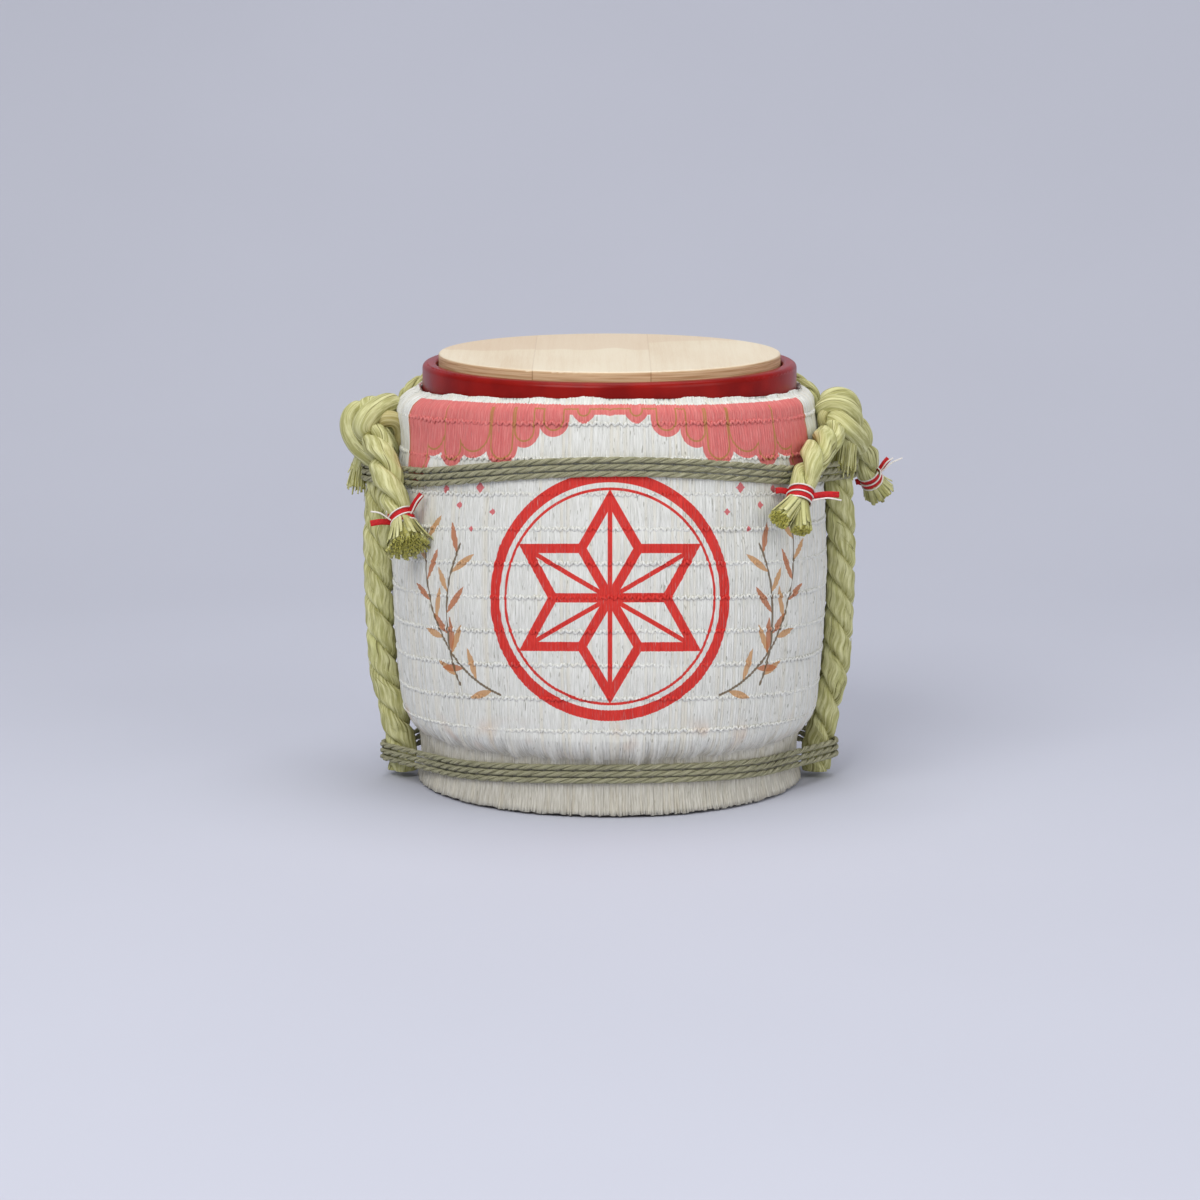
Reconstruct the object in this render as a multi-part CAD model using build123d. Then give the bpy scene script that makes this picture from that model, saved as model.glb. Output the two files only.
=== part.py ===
from build123d import *
import os
from math import acos, atan2, cos, degrees, dist, hypot, pi, radians, sin, sqrt

os.makedirs("parts", exist_ok=True)

# A straw-wrapped wooden cask of about 3.4 litres, in millimetres.
# Origin at the centre of the base, +Z up, the front faces -Y.

# Clearances
SOFT_GAP = 0.3
WOOD_GAP = 0.2
DOWEL_GAP = 0.05

# Tub of staves
STAVE_COUNT = 16
STAVE_HEIGHT = 190.0
STAVE_FOOT_RADIUS = 86.0
STAVE_TOP_RADIUS = 92.0
STAVE_WALL = 9.5
STAVE_CHAMFER = 1.0
CROZE_DEPTH = 3.0

# Bottom boards
BOTTOM_UNDERSIDE = 14.0
BOTTOM_THICKNESS = 12.0
BOTTOM_MIDDLE_WIDTH = 54.0

# Dowels that hold the boards of the bottom and of the lid together
DOWEL_DIAMETER = 4.0
DOWEL_LENGTH = 24.0
DOWEL_SPACING = 76.0

# Bamboo hoops: drop of the upper one's middle from the stave tops, and heights of the other two
UPPER_HOOP_DROP = 42.0
MIDDLE_HOOP_HEIGHT = 98.0
LOWER_HOOP_HEIGHT = 56.0
HOOP_WIDTH = 16.0
HOOP_ROUND = 4.0

# Lacquered mouth rim, set back from the staves' outer face, and its ledge for the lid
RIM_SET_BACK = 1.8
RIM_WALL = 6.8
RIM_HEIGHT = 14.5
RIM_ROUND_OUT = 2.6
RIM_ROUND_IN = 1.6
LEDGE_DEPTH = 4.5
TONGUE_DROP = 10.0
TONGUE_WALL = 3.7

# Lid
LID_CLEARANCE = 1.0
LID_THICKNESS = 9.0
LID_EDGE_ROUND = 1.2
LID_LEFT_JOINT = -36.0
LID_RIGHT_JOINT = 19.0

# Straw mat: heights, and how far its outer face swells out from the staves there
MAT_THICKNESS = 4.3
MAT_HEM_BOTTOM = 0.8
MAT_HEM_SWELL = 7.5
MAT_HEM_TOP = 10.0
MAT_WAIST_TOP = 27.6
MAT_BILGE_TURN_HEIGHT = 31.6
MAT_BILGE_TURN_SWELL = 10.6
MAT_BILGE_HEIGHT = 42.0
MAT_BILGE_SWELL = 14.2
MAT_BELLY_HEIGHT = 95.0
MAT_BELLY_SWELL = 16.0
# At the top, drops and rises are from the stave tops, and the lip stands clear of the rim
MAT_SHOULDER_DROP = 2.0
MAT_SHOULDER_SWELL = 7.1
MAT_SHOULDER_TURN_RISE = 3.6
MAT_SHOULDER_TURN_SWELL = 5.1
MAT_LIP_RISE = 1.7
MAT_LIP_CLEARANCE = 2.4
MAT_LIP_LEAN = 0.4
MAT_SEAM = 0.8
# How far its inner face follows the turns at the bilge and the shoulder, as shares of the thickness
MAT_BILGE_TURN_IN = 0.8
MAT_SHOULDER_TURN_IN = (0.72, 0.75)
MAT_SHOULDER_IN_DROP = 1.0

# Thin bindings round the mat and the side ropes
BINDING_DIAMETER = 2.7
BINDING_PITCH = 3.2
BINDING_TURNS = 3
UPPER_BINDING_DROP = 22.3
UPPER_BINDING_DIP = 15.7
LOWER_BINDING_FRONT = 21.2
LOWER_BINDING_DIP = 7.4
LOWER_BINDING_EASE = 0.9

# Thick side ropes
SIGNS = {"left": -1, "right": 1}
ROPE_DIAMETER = 14.0
ROPE_BILGE_HEIGHT = 52.0
ROPE_TURN_IN = 26.5
ROPE_TURN_DROP = (-0.40, -0.92)
ROPE_TURN_SHARE = 1.06
ROPE_WAIST_HEIGHT = 15.0
ROPE_WAIST_STAND_OFF = 2.6
ROPE_END = 3.0

# Knots: an arch of rope on a ring-shaped wrap
# The arch's centre lies out from the mat's side and below the stave tops
KNOT_ARCH_RADIUS = 9.6
KNOT_ARCH_THICKNESS = 12.4
KNOT_ARCH_SWEEP = 200.0
KNOT_ARCH_TURN = 55.0
KNOT_WRAP_RADIUS = 8.6
KNOT_WRAP_THICKNESS = 10.4
KNOT_WRAP_TILT = 18.0
KNOT_WRAP_DROP = 3.6
KNOT_OUT = {"left": 15.9, "right": 15.0}
KNOT_Y = -9.0
KNOT_DROP = {"left": 19.0, "right": 16.5}

# Tied tails: start and end of each axis from its knot's centre, as (outward, y, z),
# then the radii of body, neck and flared end
TAILS = {
    "left_front": ((-0.6, -13.4, -8.6), (-21.0, -58.0, -48.0), 7.4, 5.6, 9.4),
    "right_front": ((-1.2, -14.4, -7.9), (-27.0, -71.0, -41.0), 7.4, 5.6, 9.4),
    "right_back": ((8.0, 10.2, -8.7), (12.0, 31.6, -37.5), 5.8, 4.6, 6.4),
}
TAIL_NECK_SHARE = 0.72
TAIL_NECK_LENGTH = 11.4
TAIL_ROOT_SHARE = 0.9
TAIL_FLARE_SHARE = 0.42

# Short cut ends below the knots, placed in the same way, then the radii of root and end
STUBS = {
    "left_back": ((7.6, 6.4, -8.8), (11.0, 15.0, -28.0), 4.6, 4.8),
    "right_middle": ((6.4, -5.6, -7.9), (9.4, -7.6, -22.5), 4.2, 4.8),
}
STUB_SWELL = 1.12

# Ties round the necks of the tails: a red paper cord with a thin white one along it
TIE_DIAMETERS = {"red": 2.2, "white": 0.8}
TIE_TURNS = {"red": 2, "white": 3}
TIE_PITCH = 3.4
TIE_END = 9.0

# Shoulder rope: turns of its points round the axis from +X, and drops from the stave tops
SHOULDER_ROPE_DIAMETER = 4.8
SHOULDER_FOOT_DROP = 13.0
SHOULDER_FOOT_TURN = 9.0
SHOULDER_SIDE_DROP = 4.0
SHOULDER_SIDE_TURN = 12.0
SHOULDER_OVER_TURN = 19.0
SHOULDER_OVER_SHARE = 1.05
SHOULDER_TOP_TURN = 30.0
SHOULDER_BACK_TURNS = (60.0, 90.0, 120.0)

# Limits below which directions, lines and lengths count as the same
SAME_WAY = 1e-7
STRAIGHT = 1e-5
SAME_LENGTH = 1e-6
# Run along a wound binding that counts as the same place, in diameters
SAME_PLACE = 10


def stave_outer(z):
    """Outer radius of the tapered tub at a height."""
    return STAVE_FOOT_RADIUS + (STAVE_TOP_RADIUS - STAVE_FOOT_RADIUS) * z / STAVE_HEIGHT


def stave_inner(z):
    return stave_outer(z) - STAVE_WALL


def round_staves(swell, z):
    """(radius, height) of a point that far out from the staves."""
    return (stave_outer(z) + swell, z)


# Worked-out sizes
BINDING_RADIUS = BINDING_DIAMETER / 2
ROPE_RADIUS = ROPE_DIAMETER / 2
SHOULDER_ROPE_RADIUS = SHOULDER_ROPE_DIAMETER / 2
BOTTOM_TOP = BOTTOM_UNDERSIDE + BOTTOM_THICKNESS
HOOP_HEIGHTS = {
    "upper": STAVE_HEIGHT - UPPER_HOOP_DROP,
    "middle": MIDDLE_HOOP_HEIGHT,
    "lower": LOWER_HOOP_HEIGHT,
}
RIM_TOP = STAVE_HEIGHT + RIM_HEIGHT
RIM_OUTER_RADIUS = STAVE_TOP_RADIUS - RIM_SET_BACK
MOUTH_RADIUS = RIM_OUTER_RADIUS - RIM_WALL
LEDGE_HEIGHT = RIM_TOP - LEDGE_DEPTH
LID_RADIUS = MOUTH_RADIUS - LID_CLEARANCE
MAT_HEM = round_staves(MAT_HEM_SWELL, MAT_HEM_BOTTOM)
MAT_INNER_WAIST = stave_outer(MAT_WAIST_TOP + MAT_THICKNESS) + SOFT_GAP
MAT_WAIST_RADIUS = MAT_INNER_WAIST + MAT_THICKNESS
MAT_BILGE_TURN = round_staves(MAT_BILGE_TURN_SWELL, MAT_BILGE_TURN_HEIGHT)
MAT_BILGE = round_staves(MAT_BILGE_SWELL, MAT_BILGE_HEIGHT)
MAT_BELLY = round_staves(MAT_BELLY_SWELL, MAT_BELLY_HEIGHT)
MAT_SHOULDER = round_staves(MAT_SHOULDER_SWELL, STAVE_HEIGHT - MAT_SHOULDER_DROP)
MAT_SHOULDER_TURN = (STAVE_TOP_RADIUS + MAT_SHOULDER_TURN_SWELL, STAVE_HEIGHT + MAT_SHOULDER_TURN_RISE)
MAT_LIP = (RIM_OUTER_RADIUS + MAT_LIP_CLEARANCE, STAVE_HEIGHT + MAT_LIP_RISE + MAT_THICKNESS)
ROPE_OUT = ROPE_RADIUS + SOFT_GAP
ROPE_WAIST_X = MAT_WAIST_RADIUS + ROPE_OUT + ROPE_WAIST_STAND_OFF


def circle_through(first, middle, last):
    """Centre and radius of the circle through three (radius, height) points."""
    (ax, ay), (bx, by), (cx, cy) = first, middle, last
    d = 2 * (ax * (by - cy) + bx * (cy - ay) + cx * (ay - by))
    a2 = ax * ax + ay * ay
    b2 = bx * bx + by * by
    c2 = cx * cx + cy * cy
    ux = (a2 * (by - cy) + b2 * (cy - ay) + c2 * (ay - by)) / d
    uy = (a2 * (cx - bx) + b2 * (ax - cx) + c2 * (bx - ax)) / d
    return (ux, uy), dist((ux, uy), first)


SIDE_CENTRE, SIDE_RADIUS = circle_through(MAT_BILGE, MAT_BELLY, MAT_SHOULDER)


def side_radius(z, out=0.0):
    """Radius of the mat's bowed side at a height, or of a line that far outside it."""
    return SIDE_CENTRE[0] + sqrt((SIDE_RADIUS + out) ** 2 - (z - SIDE_CENTRE[1]) ** 2)


def side_drop(z, out=0.0):
    """Downward direction along the bowed side, as (radius, height)."""
    r = side_radius(z, out) - SIDE_CENTRE[0]
    h = z - SIDE_CENTRE[1]
    return (h / (SIDE_RADIUS + out), -r / (SIDE_RADIUS + out))


def rz(r, z):
    """A point of a turned outline."""
    return (r, 0, z)


def closed_face(*lines):
    return make_face([edge for line in lines for edge in line.edges()])


def turned(*lines, sweep_angle=360):
    """A solid of revolution about Z from outline lines in the XZ plane."""
    return revolve(closed_face(*lines), axis=Axis.Z, revolution_arc=sweep_angle)


def biarc(start, start_way, end, end_way):
    """Two arcs, or lines, that leave start and reach end along given directions."""
    p = Vector(start)
    q = Vector(end)
    a = Vector(start_way).normalized()
    b = Vector(end_way).normalized()
    v = q - p
    t = a + b
    spread = 2 * (1 - a.dot(b))
    vt = v.dot(t)
    if spread < SAME_WAY:
        reach = v.dot(v) / (2 * vt)
    else:
        reach = (sqrt(vt * vt + spread * v.dot(v)) - vt) / spread
    first = p + a * reach
    last = q - b * reach
    middle = (first + last) * 0.5
    return [arc_or_line(p, a, middle), arc_or_line(middle, last - first, q)]


def arc_or_line(start, way, end):
    chord = end - start
    if way.normalized().cross(chord.normalized()).length < STRAIGHT:
        return Edge.make_line(start, end)
    return Edge.make_tangent_arc(start, way, end)


def smooth_path(points, ways):
    """Edges of biarcs through points with directions."""
    edges = []
    for i in range(len(points) - 1):
        edges += biarc(points[i], ways[i], points[i + 1], ways[i + 1])
    return edges


def chord_ways(points):
    """Directions at points: along the chord of the two neighbours."""
    last = len(points) - 1
    ways = []
    for i in range(len(points)):
        before = Vector(points[max(i - 1, 0)])
        after = Vector(points[min(i + 1, last)])
        ways.append((after - before).normalized())
    return ways


def tube(name, edges, radius):
    """Round tube along the edges; prints its tightest bend and compares volumes."""
    path = Wire(edges)
    section = Plane(origin=path @ 0, z_dir=path % 0) * Circle(radius)
    solid = sweep(section, path=path)
    bends = [edge.radius for edge in edges if edge.geom_type == GeomType.CIRCLE]
    plain = pi * radius ** 2 * path.length
    print(f"{name}: length {path.length:.0f}, tightest bend {min(bends, default=0):.1f},",
          f"volume over section times length {solid.volume / plain:.4f}")
    return solid


def least_gap(name, edges, diameter, apart):
    """Print the least gap of a wound tube to itself, from points along it."""
    path = Wire(edges)
    count = int(path.length / (diameter / 2))
    points = [tuple(path @ (i / count)) for i in range(count + 1)]
    skip = int(apart / (path.length / count))
    least = min(
        dist(points[i], points[j])
        for i in range(len(points))
        for j in range(i + skip, len(points))
    )
    print(f"{name}: least gap to itself {least - diameter:.2f}")


def hold_ends(edges, run):
    """Add a straight run at both ends of a path."""
    path = Wire(edges)
    head = Edge.make_line(path @ 0 - (path % 0) * run, path @ 0)
    foot = Edge.make_line(path @ 1, path @ 1 + (path % 1) * run)
    return [head] + edges + [foot]


def write(name, shape):
    export_step(shape, f"parts/{name}.step")


def make_stave():
    """One stave: a slice of the tapered wall, with the croze for the bottom."""
    croze_top = BOTTOM_TOP + WOOD_GAP
    croze_radius = stave_inner(BOTTOM_TOP) + CROZE_DEPTH
    outline = Polyline(
        rz(stave_outer(0) - STAVE_CHAMFER, 0),
        rz(stave_outer(STAVE_CHAMFER), STAVE_CHAMFER),
        rz(stave_outer(STAVE_HEIGHT), STAVE_HEIGHT),
        rz(stave_inner(STAVE_HEIGHT), STAVE_HEIGHT),
        rz(stave_inner(croze_top), croze_top),
        rz(croze_radius, croze_top),
        rz(croze_radius, BOTTOM_UNDERSIDE),
        rz(stave_inner(BOTTOM_UNDERSIDE), BOTTOM_UNDERSIDE),
        rz(stave_inner(STAVE_CHAMFER), STAVE_CHAMFER),
        rz(stave_inner(0) + STAVE_CHAMFER, 0),
        close=True,
    )
    return turned(outline, sweep_angle=360 / STAVE_COUNT)


def make_boards(disc, joints, middle_height):
    """Cut a disc into three boards at x joints and drill them for their dowels."""
    half = DOWEL_DIAMETER / 2
    bores = []
    dowels = []
    for joint in joints:
        for side in (-1, 1):
            place = Pos(joint, side * DOWEL_SPACING / 2, middle_height) * Rot(0, 90, 0)
            bores.append(place * Cylinder(half + DOWEL_GAP, DOWEL_LENGTH + 2 * WOOD_GAP))
            dowels.append(place * Cylinder(half, DOWEL_LENGTH))
    drilled = disc - bores
    left, right = joints
    reach = 2 * MOUTH_RADIUS
    centre = (left + right) / 2
    boards = {
        "left": drilled & Pos(left - reach / 2, 0, middle_height) * Box(reach, reach, reach),
        "middle": drilled & Pos(centre, 0, middle_height) * Box(right - left, reach, reach),
        "right": drilled & Pos(right + reach / 2, 0, middle_height) * Box(reach, reach, reach),
    }
    return boards, Compound(dowels)


def make_bottom():
    radius = stave_inner(BOTTOM_TOP) + CROZE_DEPTH - SOFT_GAP
    disc = Pos(0, 0, BOTTOM_UNDERSIDE + BOTTOM_THICKNESS / 2) * Cylinder(radius, BOTTOM_THICKNESS)
    joints = (-BOTTOM_MIDDLE_WIDTH / 2, BOTTOM_MIDDLE_WIDTH / 2)
    return make_boards(disc, joints, BOTTOM_UNDERSIDE + BOTTOM_THICKNESS / 2)


def make_lid():
    disc = Pos(0, 0, LEDGE_HEIGHT + LID_THICKNESS / 2) * Cylinder(LID_RADIUS, LID_THICKNESS)
    disc = fillet(disc.edges().group_by(Axis.Z)[-1], LID_EDGE_ROUND)
    joints = (LID_LEFT_JOINT, LID_RIGHT_JOINT)
    return make_boards(disc, joints, LEDGE_HEIGHT + LID_THICKNESS / 2)


def ring_edges(shape, radius, z):
    """Circular edges of a turned shape with this radius at this height."""
    circles = shape.edges().filter_by(GeomType.CIRCLE)
    level = [e for e in circles if abs(e.arc_center.Z - z) < SAME_LENGTH]
    return [e for e in level if abs(e.radius - radius) < SAME_LENGTH]


def make_hoop(z):
    """Bamboo hoop: its back lies on the tapered tub, its rounded face under the mat."""
    low = z - HOOP_WIDTH / 2
    high = z + HOOP_WIDTH / 2
    face_radius = min(side_radius(low), side_radius(high)) - MAT_THICKNESS - SOFT_GAP
    section = Polyline(
        rz(stave_outer(low) + SOFT_GAP, low),
        rz(face_radius, low),
        rz(face_radius, high),
        rz(stave_outer(high) + SOFT_GAP, high),
        close=True,
    )
    ring = turned(section)
    rounded = ring_edges(ring, face_radius, low) + ring_edges(ring, face_radius, high)
    return fillet(rounded, HOOP_ROUND)


def make_rim():
    """Turned mouth ring: sits on the staves, a tongue goes inside them, a ledge holds the lid."""
    tongue_outer = stave_inner(STAVE_HEIGHT - TONGUE_DROP) - SOFT_GAP
    tongue_inner = tongue_outer - TONGUE_WALL
    outline = Polyline(
        rz(tongue_inner, STAVE_HEIGHT - TONGUE_DROP),
        rz(tongue_outer, STAVE_HEIGHT - TONGUE_DROP),
        rz(tongue_outer, STAVE_HEIGHT),
        rz(RIM_OUTER_RADIUS, STAVE_HEIGHT),
        rz(RIM_OUTER_RADIUS, RIM_TOP),
        rz(MOUTH_RADIUS, RIM_TOP),
        rz(MOUTH_RADIUS, LEDGE_HEIGHT),
        rz(tongue_inner, LEDGE_HEIGHT),
        close=True,
    )
    ring = turned(outline)
    ring = fillet(ring_edges(ring, RIM_OUTER_RADIUS, RIM_TOP), RIM_ROUND_OUT)
    return fillet(ring_edges(ring, MOUTH_RADIUS, RIM_TOP), RIM_ROUND_IN)


def make_mat():
    """Wrapped mat: hem, waist, bowed side and turned-in shoulder, with its seam at the back."""
    inside = -MAT_THICKNESS
    bilge_in = (MAT_BILGE[0] + inside, MAT_BILGE[1])
    shoulder_in = (MAT_SHOULDER[0] + inside, MAT_SHOULDER[1] - MAT_SHOULDER_IN_DROP)
    waist_top_in = MAT_WAIST_TOP + MAT_THICKNESS
    turn_in = (
        MAT_BILGE_TURN[0] + inside * MAT_BILGE_TURN_IN,
        MAT_BILGE_TURN[1] - inside * MAT_BILGE_TURN_IN,
    )
    lip_in = (MAT_LIP[0] - MAT_LIP_LEAN, MAT_LIP[1] + inside)
    shoulder_turn_in = (
        MAT_SHOULDER_TURN[0] + inside * MAT_SHOULDER_TURN_IN[0],
        MAT_SHOULDER_TURN[1] + inside * MAT_SHOULDER_TURN_IN[1],
    )
    outer = [
        Polyline(
            rz(*MAT_HEM),
            rz(MAT_WAIST_RADIUS, MAT_HEM_TOP),
            rz(MAT_WAIST_RADIUS, MAT_WAIST_TOP),
        ),
        ThreePointArc(rz(MAT_WAIST_RADIUS, MAT_WAIST_TOP), rz(*MAT_BILGE_TURN), rz(*MAT_BILGE)),
        ThreePointArc(rz(*MAT_BILGE), rz(*MAT_BELLY), rz(*MAT_SHOULDER)),
        ThreePointArc(rz(*MAT_SHOULDER), rz(*MAT_SHOULDER_TURN), rz(*MAT_LIP)),
        Line(rz(*MAT_LIP), rz(*lip_in)),
    ]
    inner = [
        ThreePointArc(rz(*lip_in), rz(*shoulder_turn_in), rz(*shoulder_in)),
        ThreePointArc(rz(*shoulder_in), rz(MAT_BELLY[0] + inside, MAT_BELLY[1]), rz(*bilge_in)),
        ThreePointArc(rz(*bilge_in), rz(*turn_in), rz(MAT_INNER_WAIST, waist_top_in)),
        Polyline(
            rz(MAT_INNER_WAIST, waist_top_in),
            rz(MAT_INNER_WAIST, MAT_HEM_TOP),
            rz(MAT_HEM[0] + inside, MAT_HEM_BOTTOM),
            rz(*MAT_HEM),
        ),
    ]
    shell = turned(*outer, *inner)
    slit = Pos(0, MAT_BELLY[0], MAT_LIP[1] / 2) * Box(MAT_SEAM, MAT_BELLY[0], 2 * MAT_LIP[1])
    return shell - slit


def from_knot(side, out=0.0, y=0.0, z=0.0):
    """Centre of a knot's arch, or a point that far outward, back and up from it."""
    height = STAVE_HEIGHT - KNOT_DROP[side]
    return (SIGNS[side] * (side_radius(height) + KNOT_OUT[side] + out), KNOT_Y + y, height + z)


def rope_top(side):
    """Height of a side rope's upper end, just under the wrap of its knot."""
    wrap_reach = KNOT_WRAP_RADIUS * sin(radians(KNOT_WRAP_TILT)) + KNOT_WRAP_THICKNESS / 2
    return from_knot(side)[2] - KNOT_WRAP_DROP - wrap_reach - SOFT_GAP


def side_rope_edges(side):
    """Middle line of a side rope: down the bowed side, in under the bilge, down the waist."""
    sign = SIGNS[side]
    top = rope_top(side)
    turn_x = MAT_BILGE_TURN[0] + ROPE_OUT * ROPE_TURN_SHARE
    stations = [
        ((side_radius(top, ROPE_OUT), top), side_drop(top, ROPE_OUT)),
        ((side_radius(MAT_BELLY[1], ROPE_OUT), MAT_BELLY[1]), side_drop(MAT_BELLY[1], ROPE_OUT)),
        (
            (side_radius(ROPE_BILGE_HEIGHT, ROPE_OUT), ROPE_BILGE_HEIGHT),
            side_drop(ROPE_BILGE_HEIGHT, ROPE_OUT),
        ),
        ((turn_x, ROPE_TURN_IN), ROPE_TURN_DROP),
        ((ROPE_WAIST_X, ROPE_WAIST_HEIGHT), (0, -1)),
    ]
    points = [(sign * r, 0, z) for (r, z), way in stations]
    ways = [(sign * way[0], 0, way[1]) for place, way in stations]
    end = Edge.make_line(points[-1], (sign * ROPE_WAIST_X, 0, ROPE_END))
    return smooth_path(points, ways) + [end]


def nearest_half_turn(angle, off):
    """Turn about the cask's axis of a point on a side rope, which is at most off from a half turn."""
    half = 180 * round(angle / 180)
    return half + max(-off, min(off, angle - half))


def binding_edges(front, dip, mat_at, rope_at):
    """Middle line of a binding: turns round the mat that bridge out over the side ropes.

    front is the height at the front, dip the drop at the sides. mat_at and rope_at give the
    mat's radius and the side ropes' distance from the axis at a height.
    """
    over_rope = ROPE_RADIUS + BINDING_RADIUS + SOFT_GAP
    round_mat = mat_at(front) + BINDING_RADIUS + SOFT_GAP
    rope_x = rope_at(front - dip)
    lean = degrees(acos((round_mat - over_rope) / rope_x))
    rope_turn = degrees(atan2(over_rope * sin(radians(lean)), rope_x + over_rope * cos(radians(lean))))
    turn = [
        (0, 90), (0, 180 - lean), (-1, 180 - lean), (-1, 180), (-1, 180 + lean), (0, 180 + lean),
        (0, 270), (0, 360 - lean), (1, 360 - lean), (1, 360), (1, 360 + lean), (0, 360 + lean),
    ]
    stations = [(side, angle + 360 * n) for n in range(BINDING_TURNS) for side, angle in turn]
    stations.append((0, 90 + 360 * BINDING_TURNS))
    points = []
    for side, angle in stations:
        about = angle if side == 0 else nearest_half_turn(angle, rope_turn)
        rise = BINDING_PITCH * ((about - 90) / 360 - BINDING_TURNS / 2)
        z = front + rise - dip * cos(radians(about)) ** 2
        reach = over_rope if side else mat_at(z) + BINDING_RADIUS + SOFT_GAP
        centre = side * rope_at(z)
        points.append((centre + reach * cos(radians(angle)), reach * sin(radians(angle)), z))
    climb = BINDING_PITCH / (2 * pi * round_mat)
    ways = []
    for (side, angle), chord in zip(stations, chord_ways(points)):
        slope = climb if angle % 180 == 90 else chord.Z / hypot(chord.X, chord.Y)
        ways.append((-sin(radians(angle)), cos(radians(angle)), slope))
    return hold_ends(smooth_path(points, ways), BINDING_DIAMETER)


def make_binding(name, front, dip, mat_at, rope_at):
    edges = binding_edges(front, dip, mat_at, rope_at)
    least_gap(name, edges, BINDING_DIAMETER, SAME_PLACE * BINDING_DIAMETER)
    return tube(name, edges, BINDING_RADIUS)


def tail_ends(name, start, end):
    """Ends of a tail's axis, whose name begins with its knot's side."""
    side = name.split("_")[0]
    return from_knot(side, *start), from_knot(side, *end)


def tail_place(start, end):
    """Frame of a tail: Z along it, X away from the cask's axis."""
    way = (Vector(end) - Vector(start)).normalized()
    out = Vector(start[0], start[1], 0)
    out = (out - way * out.dot(way)).normalized()
    return Location(Plane(origin=start, x_dir=out, z_dir=way))


def make_tail(name):
    """Rope tail: swells from the knot, is drawn in where it is tied, and flares at its cut end."""
    root_offset, end_offset, body, neck, flare = TAILS[name]
    start, end = tail_ends(name, root_offset, end_offset)
    length = dist(start, end)
    neck_start = length * TAIL_NECK_SHARE - TAIL_NECK_LENGTH / 2
    neck_end = neck_start + TAIL_NECK_LENGTH
    root = body * TAIL_ROOT_SHARE
    flare_middle = neck + (flare - neck) * TAIL_FLARE_SHARE
    outline = [
        Line(rz(0, 0), rz(root, 0)),
        ThreePointArc(rz(root, 0), rz(body, neck_start / 2), rz(neck, neck_start)),
        Line(rz(neck, neck_start), rz(neck, neck_end)),
        ThreePointArc(
            rz(neck, neck_end), rz(flare_middle, (neck_end + length) / 2), rz(flare, length)
        ),
        Polyline(rz(flare, length), rz(0, length), rz(0, 0)),
    ]
    return tail_place(start, end) * turned(*outline)


def make_stub(name):
    """Short cut rope end: swells a little from the knot to its frayed end."""
    root_offset, end_offset, root, tip = STUBS[name]
    start, end = tail_ends(name, root_offset, end_offset)
    length = dist(start, end)
    outline = [
        Line(rz(0, 0), rz(root, 0)),
        ThreePointArc(rz(root, 0), rz(tip * STUB_SWELL, length / 2), rz(tip, length)),
        Polyline(rz(tip, length), rz(0, length), rz(0, 0)),
    ]
    return tail_place(start, end) * turned(*outline)


def make_tie(tail, colour):
    """Paper cord wound round a tail's neck, with two loose ends on its outer side."""
    name = f"tie_{tail}_{colour}"
    diameter = TIE_DIAMETERS[colour]
    turns = TIE_TURNS[colour]
    root_offset, end_offset, body, neck, flare = TAILS[tail]
    start, end = tail_ends(tail, root_offset, end_offset)
    radius = neck + diameter / 2 + SOFT_GAP
    middle = dist(start, end) * TAIL_NECK_SHARE
    points = []
    ways = []
    for quarter in range(4 * turns + 1):
        angle = pi / 2 * quarter
        along = middle + TIE_PITCH * (quarter / 4 - turns / 2)
        points.append((radius * cos(angle), radius * sin(angle), along))
        ways.append((-sin(angle), cos(angle), TIE_PITCH / (2 * pi * radius)))
    edges = hold_ends(smooth_path(points, ways), TIE_END)
    least_gap(name, edges, diameter, pi * radius)
    return tail_place(start, end) * tube(name, edges, diameter / 2)


def make_knot(side):
    """Knot: an arch of rope on a wrap, above the side rope and the roots of the tails."""
    sign = SIGNS[side]
    centre = from_knot(side)
    turn = radians(KNOT_ARCH_TURN)
    along = Vector(-sign * cos(turn), -sin(turn), 0)
    plane = Plane(origin=centre, x_dir=along, z_dir=along.cross(Vector(0, 0, 1)))
    half_open = (KNOT_ARCH_SWEEP - 180) / 2
    arch_line = plane * CenterArc((0, 0), KNOT_ARCH_RADIUS, -half_open, KNOT_ARCH_SWEEP)
    arch_section = Plane(origin=arch_line @ 0, z_dir=arch_line % 0) * Circle(KNOT_ARCH_THICKNESS / 2)
    arch = sweep(arch_section, path=arch_line)
    wrap_place = Pos(centre[0], centre[1], centre[2] - KNOT_WRAP_DROP) * Rot(0, -sign * KNOT_WRAP_TILT, 0)
    wrap = wrap_place * Torus(KNOT_WRAP_RADIUS, KNOT_WRAP_THICKNESS / 2)
    return arch + wrap


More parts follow.
